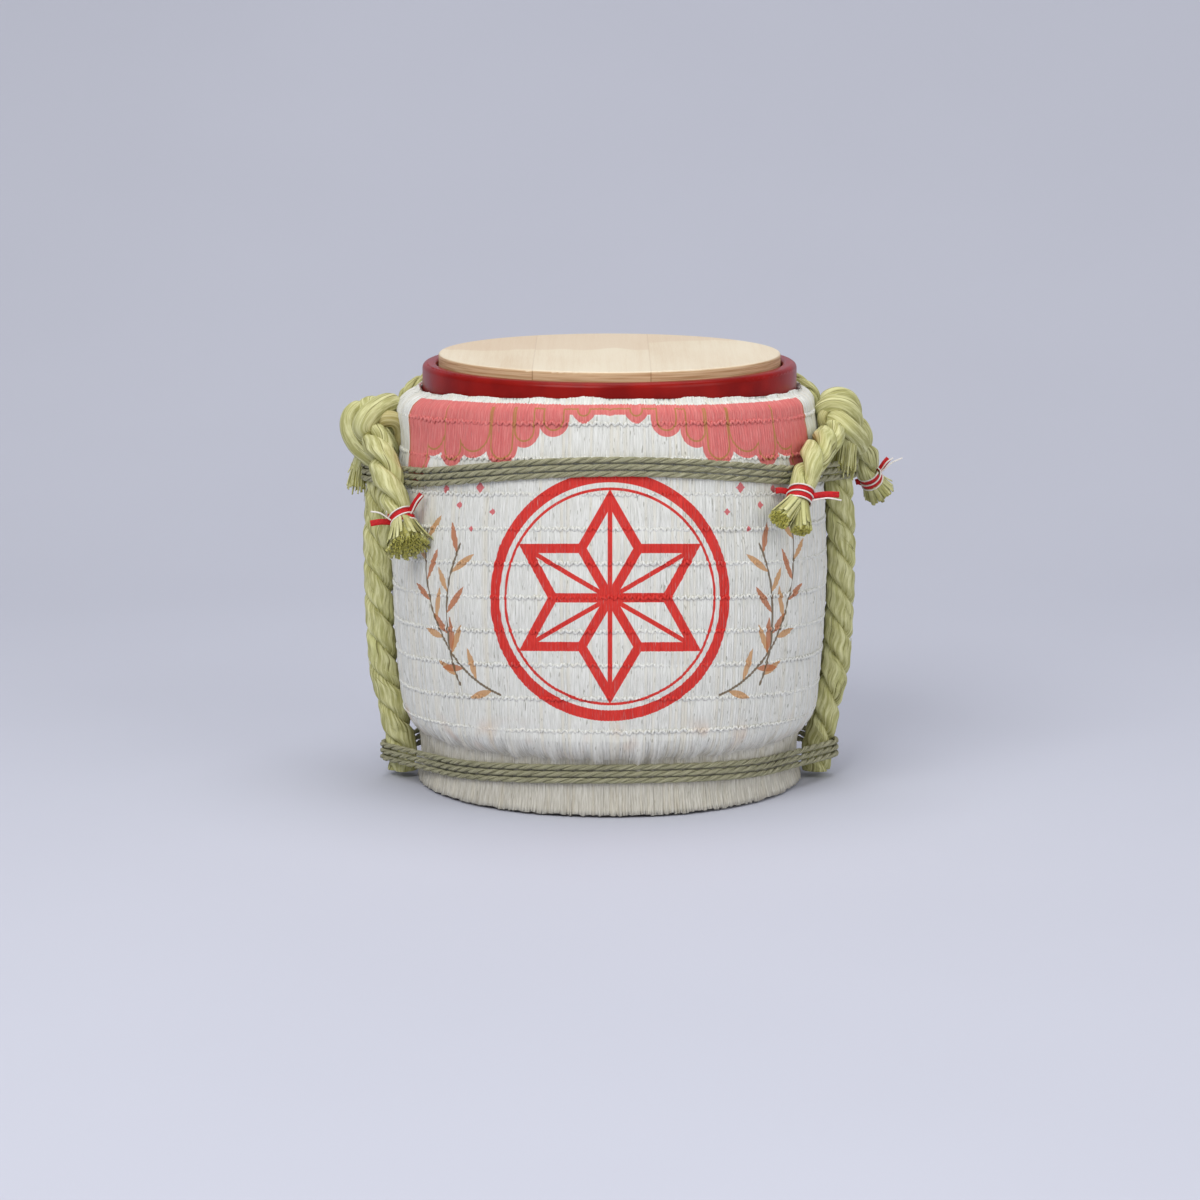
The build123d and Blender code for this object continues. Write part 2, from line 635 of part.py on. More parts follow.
def shoulder_rope_edges():
    """Middle line of the shoulder rope: up from the left knot, round behind the rim, down to the right."""
    out = SHOULDER_ROPE_RADIUS + SOFT_GAP
    top_z = MAT_LIP[1] + out
    top_r = max(RIM_OUTER_RADIUS, MAT_LIP[0] - SOFT_GAP) + out
    over_r = MAT_SHOULDER_TURN[0] + out * SHOULDER_OVER_SHARE
    over_z = MAT_SHOULDER_TURN[1] + out * SHOULDER_OVER_SHARE
    foot_z = STAVE_HEIGHT - SHOULDER_FOOT_DROP
    side_z = STAVE_HEIGHT - SHOULDER_SIDE_DROP
    rising = [
        (SHOULDER_FOOT_TURN, side_radius(foot_z, out), foot_z),
        (SHOULDER_SIDE_TURN, side_radius(side_z, out), side_z),
        (SHOULDER_OVER_TURN, over_r, over_z),
        (SHOULDER_TOP_TURN, top_r, top_z),
    ]
    back = [(turn, top_r, top_z) for turn in SHOULDER_BACK_TURNS]
    falling = [(180 - turn, r, z) for turn, r, z in reversed(rising)]
    points = [
        (r * cos(radians(turn)), r * sin(radians(turn)), z)
        for turn, r, z in rising + back + falling
    ]
    return hold_ends(smooth_path(points, chord_ways(points)), SHOULDER_ROPE_DIAMETER)


stave = make_stave()
for number in range(STAVE_COUNT):
    write(f"stave_{number + 1:02d}", Rot(0, 0, 360 / STAVE_COUNT * (number - 0.5)) * stave)

bottom_boards, bottom_dowels = make_bottom()
for place, board in bottom_boards.items():
    write(f"bottom_board_{place}", board)
write("bottom_dowels", bottom_dowels)

for place, height in HOOP_HEIGHTS.items():
    write(f"hoop_{place}", make_hoop(height))

write("mouth_rim", make_rim())

lid_boards, lid_dowels = make_lid()
for place, board in lid_boards.items():
    write(f"lid_board_{place}", board)
write("lid_dowels", lid_dowels)

write("straw_mat", make_mat())

write(
    "binding_rope_upper",
    make_binding(
        "binding_rope_upper",
        STAVE_HEIGHT - UPPER_BINDING_DROP,
        UPPER_BINDING_DIP,
        side_radius,
        lambda z: side_radius(z, ROPE_OUT),
    ),
)
write(
    "binding_rope_lower",
    make_binding(
        "binding_rope_lower",
        LOWER_BINDING_FRONT,
        LOWER_BINDING_DIP,
        lambda z: MAT_WAIST_RADIUS,
        lambda z: ROPE_WAIST_X + LOWER_BINDING_EASE,
    ),
)

for side in SIGNS:
    write(f"side_rope_{side}", tube(f"side_rope_{side}", side_rope_edges(side), ROPE_RADIUS))
    write(f"knot_{side}", make_knot(side))
for name in TAILS:
    write(f"tail_{name}", make_tail(name))
    for colour in TIE_DIAMETERS:
        write(f"tie_{name}_{colour}", make_tie(name, colour))
for name in STUBS:
    write(f"tail_{name}", make_stub(name))

write("shoulder_rope", tube("shoulder_rope", shoulder_rope_edges(), SHOULDER_ROPE_RADIUS))
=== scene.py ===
import math
from functools import reduce

import bpy
import numpy as np
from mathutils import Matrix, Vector


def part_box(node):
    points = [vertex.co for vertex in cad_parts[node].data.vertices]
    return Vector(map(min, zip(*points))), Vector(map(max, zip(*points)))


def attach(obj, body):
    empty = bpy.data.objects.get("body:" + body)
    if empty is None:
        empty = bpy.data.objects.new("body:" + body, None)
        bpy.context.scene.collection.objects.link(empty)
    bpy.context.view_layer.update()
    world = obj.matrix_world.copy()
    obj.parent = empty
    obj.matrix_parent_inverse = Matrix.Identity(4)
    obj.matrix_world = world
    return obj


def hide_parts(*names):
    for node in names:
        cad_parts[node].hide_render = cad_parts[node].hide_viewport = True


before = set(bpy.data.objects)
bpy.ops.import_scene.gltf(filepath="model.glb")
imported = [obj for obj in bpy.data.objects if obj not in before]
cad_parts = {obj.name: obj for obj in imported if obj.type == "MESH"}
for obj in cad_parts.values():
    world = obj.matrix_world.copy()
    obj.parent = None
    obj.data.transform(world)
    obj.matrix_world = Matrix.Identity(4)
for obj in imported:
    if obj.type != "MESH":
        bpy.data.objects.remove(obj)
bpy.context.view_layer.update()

MM = 0.001
chance = np.random.default_rng(11)

# Camera, as the photograph was taken
CAMERA_PLACE = (-4.6 * MM, -1937 * MM, 429 * MM)
CAMERA_PITCH = 80.0
CAMERA_LENS = 121.05
CAMERA_SENSOR = 36.0

# Studio, in metres: the paper sweep, then each lamp's name, place, size and power
SWEEP_FRONT = -40.0
SWEEP_BEND_START = 0.5
SWEEP_BEND = 1.4
SWEEP_TOP = 3.4
SWEEP_HALF_WIDTH = 40.0
LAMPS = (
    ("key", (-0.75, -1.5, 1.55), 1.3, 26),
    ("fill", (1.5, -1.2, 0.9), 1.4, 11),
    ("top", (0.1, 0.2, 1.9), 1.4, 13),
)
LAMP_AIM = (0, 0, 0.1)
WORLD_STRENGTH = 0.42

# Straw mat: outline of its outer face as (radius, height)
WAIST_RADIUS = 91.6 * MM
HEM = (93.5 * MM, 0.8 * MM)
HEM_TOP = (WAIST_RADIUS, 10 * MM)
WAIST_TOP = (WAIST_RADIUS, 27.6 * MM)
BILGE_TURN = (97.6 * MM, 31.6 * MM)
BILGE = (101.5 * MM, 42 * MM)
BELLY = (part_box("straw_mat")[1].y, 95 * MM)
SHOULDER = (99 * MM, 188 * MM)
SHOULDER_TURN = (97.1 * MM, 193.6 * MM)
LIP = (92.8 * MM, 196.2 * MM)
LIP_EDGE = (91.6 * MM, 199 * MM)
MAT_THICKNESS = 2.2 * MM
INNER_HEM = 0.6 * MM
INNER_LIP_DROP = 1.8 * MM
# A place on the flat mat that is past its print, for the inside
INSIDE_PLACE = (400.0, 15.0, 0.0)

# Straws: points across one as (share of its width, height), and how they vary
STRAW_COUNT = 408
STRAW_COLUMNS = ((0.0, -0.34 * MM), (0.3, 0.16 * MM), (0.7, 0.16 * MM))
STRAW_WIDTHS = (0.75, 1.25)
STRAW_HEIGHTS = (0.55, 1.35)
STRAW_PROUD = 0.1 * MM
STRAW_WANDER = 0.0006
HEM_RAGGED = 1.2 * MM
LIP_RAGGED = 0.4 * MM
LIP_WAVE = 0.5 * MM
LIP_CUT = 1.0 * MM
SEAM_HALF_ANGLE = 0.2

# Weave: heights at the front, how far it hangs towards the sides, and the stitches
WEAVE_ROWS = [(43 + 16 * k) * MM for k in range(10)]
WEAVE_PINCH = 0.38 * MM
PINCH_SPREAD = 2.2 * MM
WEAVE_SAG = 9 * MM
SAG_FROM = 26 * MM
SAG_FULL = 52 * MM
SHOULDER_FROM = 150 * MM
SHOULDER_SAG = 5 * MM
STITCH_PITCH = 1.75 * MM
# Rings of a stitch as (place along it, thickness), in shares of its length and width
STITCH_RINGS = ((-1.0, 0.35), (-0.5, 0.9), (0.15, 1.0), (0.75, 0.7))
STITCH_SIDES = 6
SEAM_LACE_STEP = 5.3 * MM
SEAM_LACE_REACH = 3.2 * MM
SEAM_LACE_RADIUS = 0.6 * MM
# The lace's place round the flat mat, which is past the print, and its number among the straws
SEAM_LACE_TINT = (300.0, 0.9)

# Unevenness of the wrapped mat
LEFT_SWELL = 3.6 * MM
LEFT_SWELL_HEIGHT = 187 * MM
LEFT_SWELL_SPREAD = 7 * MM
BROAD_SWELL = 0.13 * MM
BROAD_SWELLS = 10
FOLD_HEIGHT = 28 * MM
FOLD_SPREAD = 6 * MM
FOLD_DEPTH = 2.0 * MM
FOLD_COUNTS = (29, 43, 61, 88)

# Ropes
SIDE_ROPE_RADIUS = 7 * MM
SIDE_ROPE_PITCH = 34 * MM
SIDE_ROPE_GAP = 0.3 * MM
# Side ropes, in millimetres: heights on the bowed side, then (radius, height) in under the bilge and down
SIDE_ROPE_BOW = (84, 66, 52)
SIDE_ROPE_FOOT = ((106.4, 38), (104.6, 27), (101.8, 16), (101.5, 3.2))
# Turn of the lay at the top of the left and the right one
SIDE_ROPE_STARTS = {-1: 0.6, 1: 1.9}
ROPE_INTO_KNOT = 7 * MM
LOOSE_STRAWS = 46
LOOSE_STRAW_LENGTH = 14 * MM
BINDING_RADIUS = 1.4 * MM
BINDING_STEP = 3.2 * MM
BINDING_TURNS = 3
BINDING_PITCH = 15 * MM
BINDING_OVER_ROPE = SIDE_ROPE_RADIUS + BINDING_RADIUS + SIDE_ROPE_GAP
TUCK_DEPTH = 4 * MM
TUCK_LENGTH = 16 * MM
UPPER_BINDING_FRONT = 167.7 * MM
UPPER_BINDING_DIP = 15.7 * MM
LOWER_BINDING_FRONT = 21.2 * MM
LOWER_BINDING_DIP = 7.4 * MM
LOWER_ROPE_X = 102.4 * MM
SHOULDER_ROPE_RADIUS = 2.4 * MM
SHOULDER_ROPE_PITCH = 22 * MM
SHOULDER_ROPE_GAP = 0.2 * MM
SHOULDER_ROPE_RIM_GAP = 0.4 * MM
# Degrees round from the front: up the mat with millimetres past the shoulder, then round the rim's back
SHOULDER_ROPE_CLIMB = ((98.0, -17.0), (98.4, -9.0), (98.8, -2.0), (99.6, 4.0))
SHOULDER_ROPE_BACK = (106, 122, 150, 180)
STRAW_BACK_TURN = 1.35
RIDGE_SPACING = 9 * MM
# How a rope's two strands lie, as shares of its radius: offset, half depth and half width of each
ROUND_LAY = (0.48, 0.52, 0.78)
PRESSED_LAY = (0.4, 0.6, 0.88)

# Knots, in millimetres: a middle to face away from, then each strand's half width, half depth,
# how brown it is, and its points
KNOTS = {
    "left": ((-113, -3, 171), {
        "over": (5.6, 4.8, 0.0, (
            (-104.2, 2, 182.6), (-106, -6, 184.8), (-110.6, -12.8, 183.6), (-115.6, -18, 180),
            (-118, -18.6, 175), (-114.6, -13.6, 171), (-111, -8, 169))),
        "left_down": (5.0, 4.6, 0.0, (
            (-119, 1, 183), (-124.6, -4, 178.6), (-125.2, -7.4, 172), (-121.8, -9.6, 165.4),
            (-116.6, -10.4, 160.4), (-112, -8, 156.4))),
        "right_loop": (3.9, 3.8, 0.45, (
            (-112, -12.6, 175.4), (-107.6, -16, 178.4), (-102.8, -16, 177.8), (-100.4, -13, 173),
            (-100.8, -10, 166), (-103.4, -5, 159))),
        "under": (3.2, 3.0, 0.0, (
            (-111, -13, 174.4), (-108.2, -16.4, 171.8), (-105.6, -16.2, 167.4), (-103.4, -13, 161))),
        "back_up": (5.6, 4.8, 0.0, (
            (-104, -4, 157), (-104.6, 6, 164), (-109, 10, 174), (-114, 8, 181), (-117, 0, 182),
            (-116, -8, 178))),
        "back_across": (5.2, 4.8, 0.0, (
            (-121, -2, 180), (-123, 6, 175), (-120, 10.4, 167), (-113, 9, 160), (-108, 2, 155))),
    }),
    "right": ((113, -3, 173), {
        "over": (4.4, 4.2, 0.0, (
            (103, -3, 177), (102.9, -10, 182.6), (107, -13.6, 185.6), (112.6, -14, 184.8),
            (116.6, -11, 181), (118.2, -6, 176), (117.6, 0, 170.6))),
        "across": (4.8, 4.4, 0.0, (
            (106.4, -12, 178.6), (109.8, -17.8, 178), (113.8, -19.6, 175), (117.6, -15.6, 170.8),
            (120.6, -8, 166.4), (121, 1, 162))),
        "left_loop": (2.5, 2.3, 0.3, (
            (106.6, -11, 183), (103, -14, 181), (102, -14.6, 178), (103.4, -14, 175), (107, -12, 173))),
        "back_over": (4.2, 4.0, 0.0, (
            (103.6, 0, 183.2), (106, -1, 186.8), (110.8, 0, 188), (115.4, 2.6, 186), (118, 6, 181),
            (118, 8.4, 174), (115, 8, 164))),
        "right_lobe": (4.2, 4.2, 0.0, (
            (117.6, -4, 176), (121.6, -1.4, 172), (123.4, 2.4, 166.4), (122, 6.4, 160.6))),
        "back_up": (4.4, 4.2, 0.0, (
            (108, -5, 166), (104.4, 1, 171), (105, 7, 178), (109, 8.4, 184), (113.6, 3, 186))),
        "back_low": (4.8, 4.6, 0.0, (
            (121, 5, 172), (118, 10.6, 166), (112, 10, 160), (107, 3, 157))),
    }),
}

# Tails, in millimetres: points to the tie with the half thickness there, then the brushes past the tie
# as (end, half width of the cut end, count of straws)
TAILS = {
    "left_front": (
        ((-113.6, -12, 173, 5.4), (-112, -21, 169.6, 6.8), (-108.9, -31.4, 163.4, 7.2),
         (-105.4, -41.5, 154.8, 7.2), (-102, -49.4, 145.2, 6.8), (-97.9, -56.5, 136.4, 5.4)),
        (((-94.4, -67.4, 124.6), 10.0, 260),),
    ),
    "right_front": (
        ((109, -14, 174, 5.0), (105.4, -27, 171.6, 6.6), (99.4, -45.4, 168, 7.2),
         (94.4, -59.2, 162.6, 7.2), (90.9, -66, 155.6, 6.4), (88.9, -71, 149.6, 5.4)),
        (((89, -83, 134.6), 4.6, 130), ((78.6, -86.6, 140.4), 4.9, 130)),
    ),
    "right_back": (
        ((119, -2, 171, 4.6), (122.6, 3, 164, 5.8), (124.6, 9, 156.6, 6.4), (125.6, 14, 150, 5.8),
         (128, 18, 144.8, 4.8)),
        (((132.6, 23.6, 137), 6.8, 150),),
    ),
}
TAIL_PITCH = 42 * MM
TAIL_SWELL = 1.03
TAIL_START = 0.9
TAIL_LEAVES = 26
# Share of the neck's thickness at the root of a brush, for one brush and for two
BRUSH_ROOTS = {1: 0.86, 2: 0.6}
TAIL_RAGGED = 1.1 * MM
TAIL_STRAW = 0.85 * MM

# Short cut ends, in millimetres: three points, half thickness at root and tip, and count of straws
STUBS = {
    "left_back": ((-118, 0, 163), (-121.6, 2.6, 154), (-122.8, 5.6, 142.6), 3.6, 5.0, 150),
    "right_middle": ((113.4, -10, 173), (113.4, -14, 167.4), (111.8, -14.8, 154.2), 5.6, 6.6, 300),
}
STUB_MIDDLE = (0, 0, 160)
STUB_RAGGED = 5 * MM
STUB_STRAW = 0.42 * MM

# A brush: shares of its length at a straw's points, how olive the straw is there, and its core
BRUSH_RISE = np.array([0.0, 0.22, 0.5, 0.78, 0.96, 1.0])
BRUSH_OLIVE = np.array([0, 0, 0, 0.05, 0.2, 0.85])
BRUSH_CORE_LENGTH = 0.86
BRUSH_CORE_RADIUS = 0.84
BRUSH_CORE_OLIVE = 0.7
GOLDEN_ANGLE = 2.39996

# Ties: loose ends of the red ribbon and of the white cord, as (direction, length, place along the tail)
TIES = {
    "left_front": {
        "red": (((-1, -0.1, -0.06), 9.5, 0.0), ((0.55, -0.2, 0.85), 10.5, 0.0)),
        "white": (((-0.9, -0.1, 0.4), 10.0, 0.0), ((0.5, -0.2, 0.8), 10.4, 1.1)),
    },
    "right_front": {
        "red": (((-0.9, -0.1, 0.1), 6.0, 0.0), ((1, -0.1, 0.06), 12.5, -0.8)),
        "white": (((-1, -0.1, -0.2), 10.5, 0.0), ((1, -0.1, 0.02), 13.5, 1.6)),
    },
    "right_back": {
        "red": (((0.6, 0.1, 0.8), 8.0, 0.0), ((-0.9, -0.3, 0.1), 3.0, 0.0)),
        "white": (((0.85, 0.1, 0.55), 12.5, 0.0), ((0.7, 0.1, 0.72), 9.0, 0.0)),
    },
}
# What each tie is wound from: piece name, turns, half depth and half width of its section, the section's
# sides and ridges, how far its turns and its loose ends lie off the tail, and how far the ends bow up
# in millimetres
TIE_PARTS = {
    "red": ("ribbon", 2, 0.25 * MM, 1.5 * MM, 10, 0.0, 0.4 * MM, 0.4 * MM, 0.5),
    "white": ("cord", 3, 0.37 * MM, 0.37 * MM, 8, 0.05, 0.8 * MM, 1.0 * MM, 1.2),
}
TIE_PITCH = 3.4 * MM

# Wood: count of staves, how far the grain shifts from one tone or board to the next, and how much browner
# each is than the palest wood
STAVE_COUNT = 16
STAVE_SHIFT = 0.37
BOARD_SHIFT = 0.53
STAVE_TONES = (0.0, 0.1, -0.05, 0.05)
BOARD_TONES = {"left": 0.03, "middle": -0.03, "right": 0.05}
# Painted shade on the back of each lid board, where the lid takes less light: how strong it is and how far
# back it begins, then how far its edge wanders (mm)
LID_BACK_SHADE = {"left": (0.55, 8.0), "middle": (0.45, 8.0), "right": (0.4, 44.0)}
BACK_SHADE_WANDER = 50.0
BACK_SHADE_BLUR = 5.0

# The print on the mat, in millimetres on the flat mat: s round it from the front, h up
PRINT_BLUR = 0.15
ROUNDEL_HEIGHT = 107.0
ROUNDEL_RING = 56.0
ROUNDEL_STROKE = 5.2
INNER_RING = 50.4
INNER_RING_STROKE = 1.3
HALF_STAR_LEAF = math.radians(30)
LEAF_STAR_REACH = 46.0
LEAF_STAR_STROKE = 4.4
LEAF_SPINE_STROKE = 2.2
# Cloud lobes as (place from the middle, height, radius)
CLOUD_LOBES = (
    (0, 195, 5), (13, 193, 6), (28, 189, 8), (43, 184, 8), (55, 177, 9), (72, 184, 13), (86, 176, 9),
    (101, 183, 12), (116, 172, 13),
)
CLOUD_LINE_INSET = 3.0
CLOUD_LINE = 0.4
CLOUD_TOP = 196.4
CLOUD_BASE = 190.5
CLOUD_END = 127.0
# Stems as arcs: place and height of the centre, radius, first and last angle in degrees
SPRAY_STEMS = ((30.0, 128.0, 72.0, -66.0, 4.0), (14.0, 96.0, 72.0, -22.0, 26.0))
SPRAY_STEM_EDGE = (0.4, 0.75)
SPRAY_STEM_SPARE = 4
LEAF_LENGTHS = (14.0, 17.0, 15.0, 18.0)
LEAF_WIDTH = 3.5
LEAF_LEAN = math.radians(40)
LEAF_EVERY = 7.6
LEAF_EDGE = (0.92, 1.04)
# Flakes as (place from the middle, height, half width)
FLAKES = ((66, 158, 2.6), (78, 150, 1.9), (58, 147, 1.7), (88, 157, 2.1), (70, 139, 1.5))
FLAKE_BLUR = 0.2


def linear(red, green, blue):
    """A colour given on the 0 to 255 scale, in the renderer's linear values."""
    shares = (red / 255, green / 255, blue / 255)
    return tuple(v / 12.92 if v <= 0.04045 else ((v + 0.055) / 1.055) ** 2.4 for v in shares) + (1.0,)


# Shader building


class Value:
    """A shader value. Arithmetic on it adds Math nodes to its finish."""

    def __init__(self, finish, socket):
        self.finish = finish
        self.socket = socket

    def math(self, operation, *others):
        sockets = dict(enumerate((self,) + others))
        return self.finish.node("Math", {"operation": operation}, sockets)

    def out(self, name):
        return Value(self.finish, self.socket.node.outputs[name])

    def __add__(self, other):
        return self.math("ADD", other)

    def __sub__(self, other):
        return self.math("SUBTRACT", other)

    def __rsub__(self, other):
        return self.finish.node("Math", {"operation": "SUBTRACT"}, {0: other, 1: self})

    def __mul__(self, other):
        return self.math("MULTIPLY", other)

    def __truediv__(self, other):
        return self.math("DIVIDE", other)

    def __neg__(self):
        return self * -1

    def __abs__(self):
        return self.math("ABSOLUTE")

    __radd__ = __add__
    __rmul__ = __mul__

    def least(self, other):
        return self.math("MINIMUM", other)

    def most(self, other):
        return self.math("MAXIMUM", other)

    def root(self):
        return self.math("SQRT")

    def rise(self, low, high):
        """0 below low and 1 above high, with a soft step between them."""
        return self.finish.node(
            "MapRange", {"interpolation_type": "SMOOTHSTEP"}, {0: self, 1: low, 2: high, 3: 0, 4: 1}
        )

    def fall(self, low, high):
        return 1 - self.rise(low, high)

    def under(self, edge, blur=PRINT_BLUR):
        """1 where the value is under an edge, as ink is inside its outline."""
        return self.fall(edge - blur, edge + blur)


class Finish:
    """A material whose nodes come from expressions."""

    def __init__(self, name, **uniform):
        self.material = bpy.data.materials.new(name)
        self.material.use_nodes = True
        self.tree = self.material.node_tree
        self.surface = self.tree.nodes["Principled BSDF"]
        for socket, value in uniform.items():
            self.surface.inputs[socket.replace("_", " ")].default_value = value

    def node(self, kind, settings=None, sockets=None, out=0):
        made = self.tree.nodes.new("ShaderNode" + kind)
        for key, value in (settings or {}).items():
            setattr(made, key, value)
        for key, value in (sockets or {}).items():
            if isinstance(value, Value):
                self.tree.links.new(value.socket, made.inputs[key])
            else:
                made.inputs[key].default_value = value
        return Value(self, made.outputs[out])

    def mix(self, share, first, second, blend="MIX"):
        settings = {"data_type": "RGBA", "blend_type": blend}
        return self.node("Mix", settings, {0: share, 6: first, 7: second}, out=2)

    def noise(self, place, scale, detail=2.0, rough=0.5):
        sockets = {"Vector": place, "Scale": scale, "Detail": detail, "Roughness": rough}
        return self.node("TexNoise", {}, sockets)

    def grain(self, place, scale, detail=2.0, rough=0.5, shift=0.0):
        """Noise that is drawn out by its own scale on each axis."""
        sockets = {"Vector": place, "Scale": scale, "Location": (shift, shift, shift)}
        return self.noise(self.node("Mapping", {"vector_type": "POINT"}, sockets), 1.0, detail, rough)

    def place(self):
        return self.node("TexCoord", out="Object")

    def attribute(self, name):
        return self.node("Attribute", {"attribute_name": name}, out="Vector")

    def parts(self, vector):
        split = self.node("SeparateXYZ", {}, {0: vector})
        return split.out("X"), split.out("Y"), split.out("Z")

    def set(self, colour, rough=None, height=None, depth=0.0):
        """Join the varying colour, roughness and surface height to the shader."""
        self.tree.links.new(colour.socket, self.surface.inputs["Base Color"])
        if rough is not None:
            self.tree.links.new(rough.socket, self.surface.inputs["Roughness"])
        if height is not None:
            bump = self.node("Bump", {}, {"Height": height, "Distance": depth, "Strength": 1.0})
            self.tree.links.new(bump.socket, self.surface.inputs["Normal"])
        return self.material


# Print on the mat


def nearest_of(values):
    return reduce(lambda first, second: first.least(second), values)


def length_of(across, up):
    return (across * across + up * up).root()


def roundel(s, h):
    """Red ring with a six-leaf hemp star: a traditional geometric figure."""
    up = h - ROUNDEL_HEIGHT
    reach = length_of(s, up)
    turn = abs(s.math("ARCTAN2", up)).math("PINGPONG", HALF_STAR_LEAF)
    along = reach * turn.math("COSINE")
    across = reach * turn.math("SINE")
    lean = across * math.cos(HALF_STAR_LEAF)
    half = LEAF_STAR_STROKE / 2
    outside = (along - LEAF_STAR_REACH) * math.sin(HALF_STAR_LEAF) + lean
    between = (along * math.sin(HALF_STAR_LEAF) - lean).most(outside)
    spine = (across + (half - LEAF_SPINE_STROKE / 2)).most(outside)
    ring = abs(reach - ROUNDEL_RING) + (half - ROUNDEL_STROKE / 2)
    fine_ring = abs(reach - INNER_RING) + (half - INNER_RING_STROKE / 2)
    return nearest_of([abs(outside), between, spine, ring, fine_ring]).under(half)


def clouds(side, h):
    """Pink bank of round cloud lobes that hangs from a straight edge, and the gold line inside it."""
    lobes = [
        length_of(side - centre, (height - h).most(0)) - radius for centre, height, radius in CLOUD_LOBES
    ]
    nearest = nearest_of([CLOUD_BASE - h] + lobes)
    inside = h.under(CLOUD_TOP) * side.under(CLOUD_END)
    bank = nearest.under(0) * inside
    line = abs(nearest + CLOUD_LINE_INSET).under(CLOUD_LINE) * inside
    return bank, line


def spray_leaves(finish, flat):
    """Long pointed leaves along two bent stems on either side, in two inks."""
    inks = ([], [])
    for centre_s, centre_h, radius, first, last in SPRAY_STEMS:
        count = int(abs(last - first) / LEAF_EVERY)
        for i in range(count + 1):
            angle = math.radians(first + (last - first) * i / count)
            way = angle + math.pi / 2 + LEAF_LEAN * (1 if i % 2 else -1)
            length = LEAF_LENGTHS[i % len(LEAF_LENGTHS)]
            middle_s = centre_s + radius * math.cos(angle) + math.cos(way) * length / 2
            middle_h = centre_h + radius * math.sin(angle) + math.sin(way) * length / 2
            sockets = {
                "Vector": flat,
                "Location": (middle_s, middle_h, 0),
                "Rotation": (0, 0, way),
                "Scale": (length / 2, LEAF_WIDTH / 2, 1),
            }
            u, v = finish.parts(finish.node("Mapping", {"vector_type": "TEXTURE"}, sockets))[:2]
            inks[i // 2 % 2].append(abs(v) + u * u)
    return [nearest_of(ink).fall(*LEAF_EDGE) for ink in inks]


def spray_stems(side, h):
    stems = []
    for centre_s, centre_h, radius, first, last in SPRAY_STEMS:
        across = side - centre_s
        up = h - centre_h
        off = abs(length_of(across, up) - radius)
        middle = math.radians((first + last) / 2)
        half = math.radians(abs(last - first) / 2 + SPRAY_STEM_SPARE)
        past = (abs(up.math("ARCTAN2", across) - middle) - half).most(0) * radius
        stems.append(off + past)
    return nearest_of(stems).fall(*SPRAY_STEM_EDGE)


def flakes(side, h):
    """A few small squares of scattered foil."""
    return nearest_of([abs(side - s) + abs(h - up) - size for s, up, size in FLAKES]).under(0, FLAKE_BLUR)


# Finishes


def straw_mat_finish():
    """White straw with its print, dark specks between the straws and a darker, browner tone towards the hem.
    """
    finish = Finish("straw_mat", Roughness=0.78, Specular_IOR_Level=0.25)
    flat = finish.attribute("flat")
    s, h, straw = finish.parts(flat)
    side = abs(s)
    mirrored = finish.node("CombineXYZ", {}, {0: side, 1: h, 2: 0.0})
    grain = finish.grain(flat, (2.6, 0.13, 3.0), 3.0, 0.6)
    broad = finish.grain(flat, (0.05, 0.03, 0.0))
    specks = finish.grain(flat, (1.3, 0.22, 5.0), 1.0)
    tone = finish.mix(grain.rise(0.3, 0.72), linear(214, 214, 206), linear(243, 243, 238))
    tone = finish.mix(straw.rise(0.55, 1.0) * 0.55, tone, linear(228, 222, 204))
    tone = finish.mix(specks.rise(0.66, 0.74) * 0.6, tone, linear(136, 134, 116))
    # Darker, browner tone towards the bottom of the mat, below about 40 mm
    low_tone = finish.mix(grain.rise(0.25, 0.75), linear(150, 138, 114), linear(212, 206, 188))
    low_share = (h + (broad - 0.5) * 14).fall(22, 40) * 0.6
    tone = finish.mix(low_share, tone, low_tone)
    stain = broad.rise(0.5, 0.66) * h.rise(26, 36) * h.fall(40, 52)
    tone = finish.mix(stain * 0.4, tone, linear(214, 178, 146))
    wear = 1 - grain.fall(0.22, 0.45) * 0.38
    bank, line = clouds(side, h)
    light_ink, dark_ink = spray_leaves(finish, mirrored)
    pink = finish.mix(grain.rise(0.3, 0.75), linear(212, 98, 96), linear(233, 146, 140))
    red = finish.mix(grain.rise(0.3, 0.75), linear(206, 40, 36), linear(230, 70, 60))
    tone = finish.mix(bank * wear, tone, pink)
    tone = finish.mix(line * 0.85, tone, linear(176, 132, 70))
    tone = finish.mix(flakes(side, h) * wear, tone, linear(218, 120, 122))
    tone = finish.mix(light_ink * wear * 0.9, tone, linear(206, 156, 104))
    tone = finish.mix(dark_ink * wear * 0.9, tone, linear(190, 118, 74))
    tone = finish.mix(spray_stems(side, h) * 0.9, tone, linear(112, 92, 62))
    tone = finish.mix(roundel(s, h) * wear, tone, red)
    return finish.set(tone, 0.72 + (grain - 0.5) * 0.2, grain, 0.35 * MM)


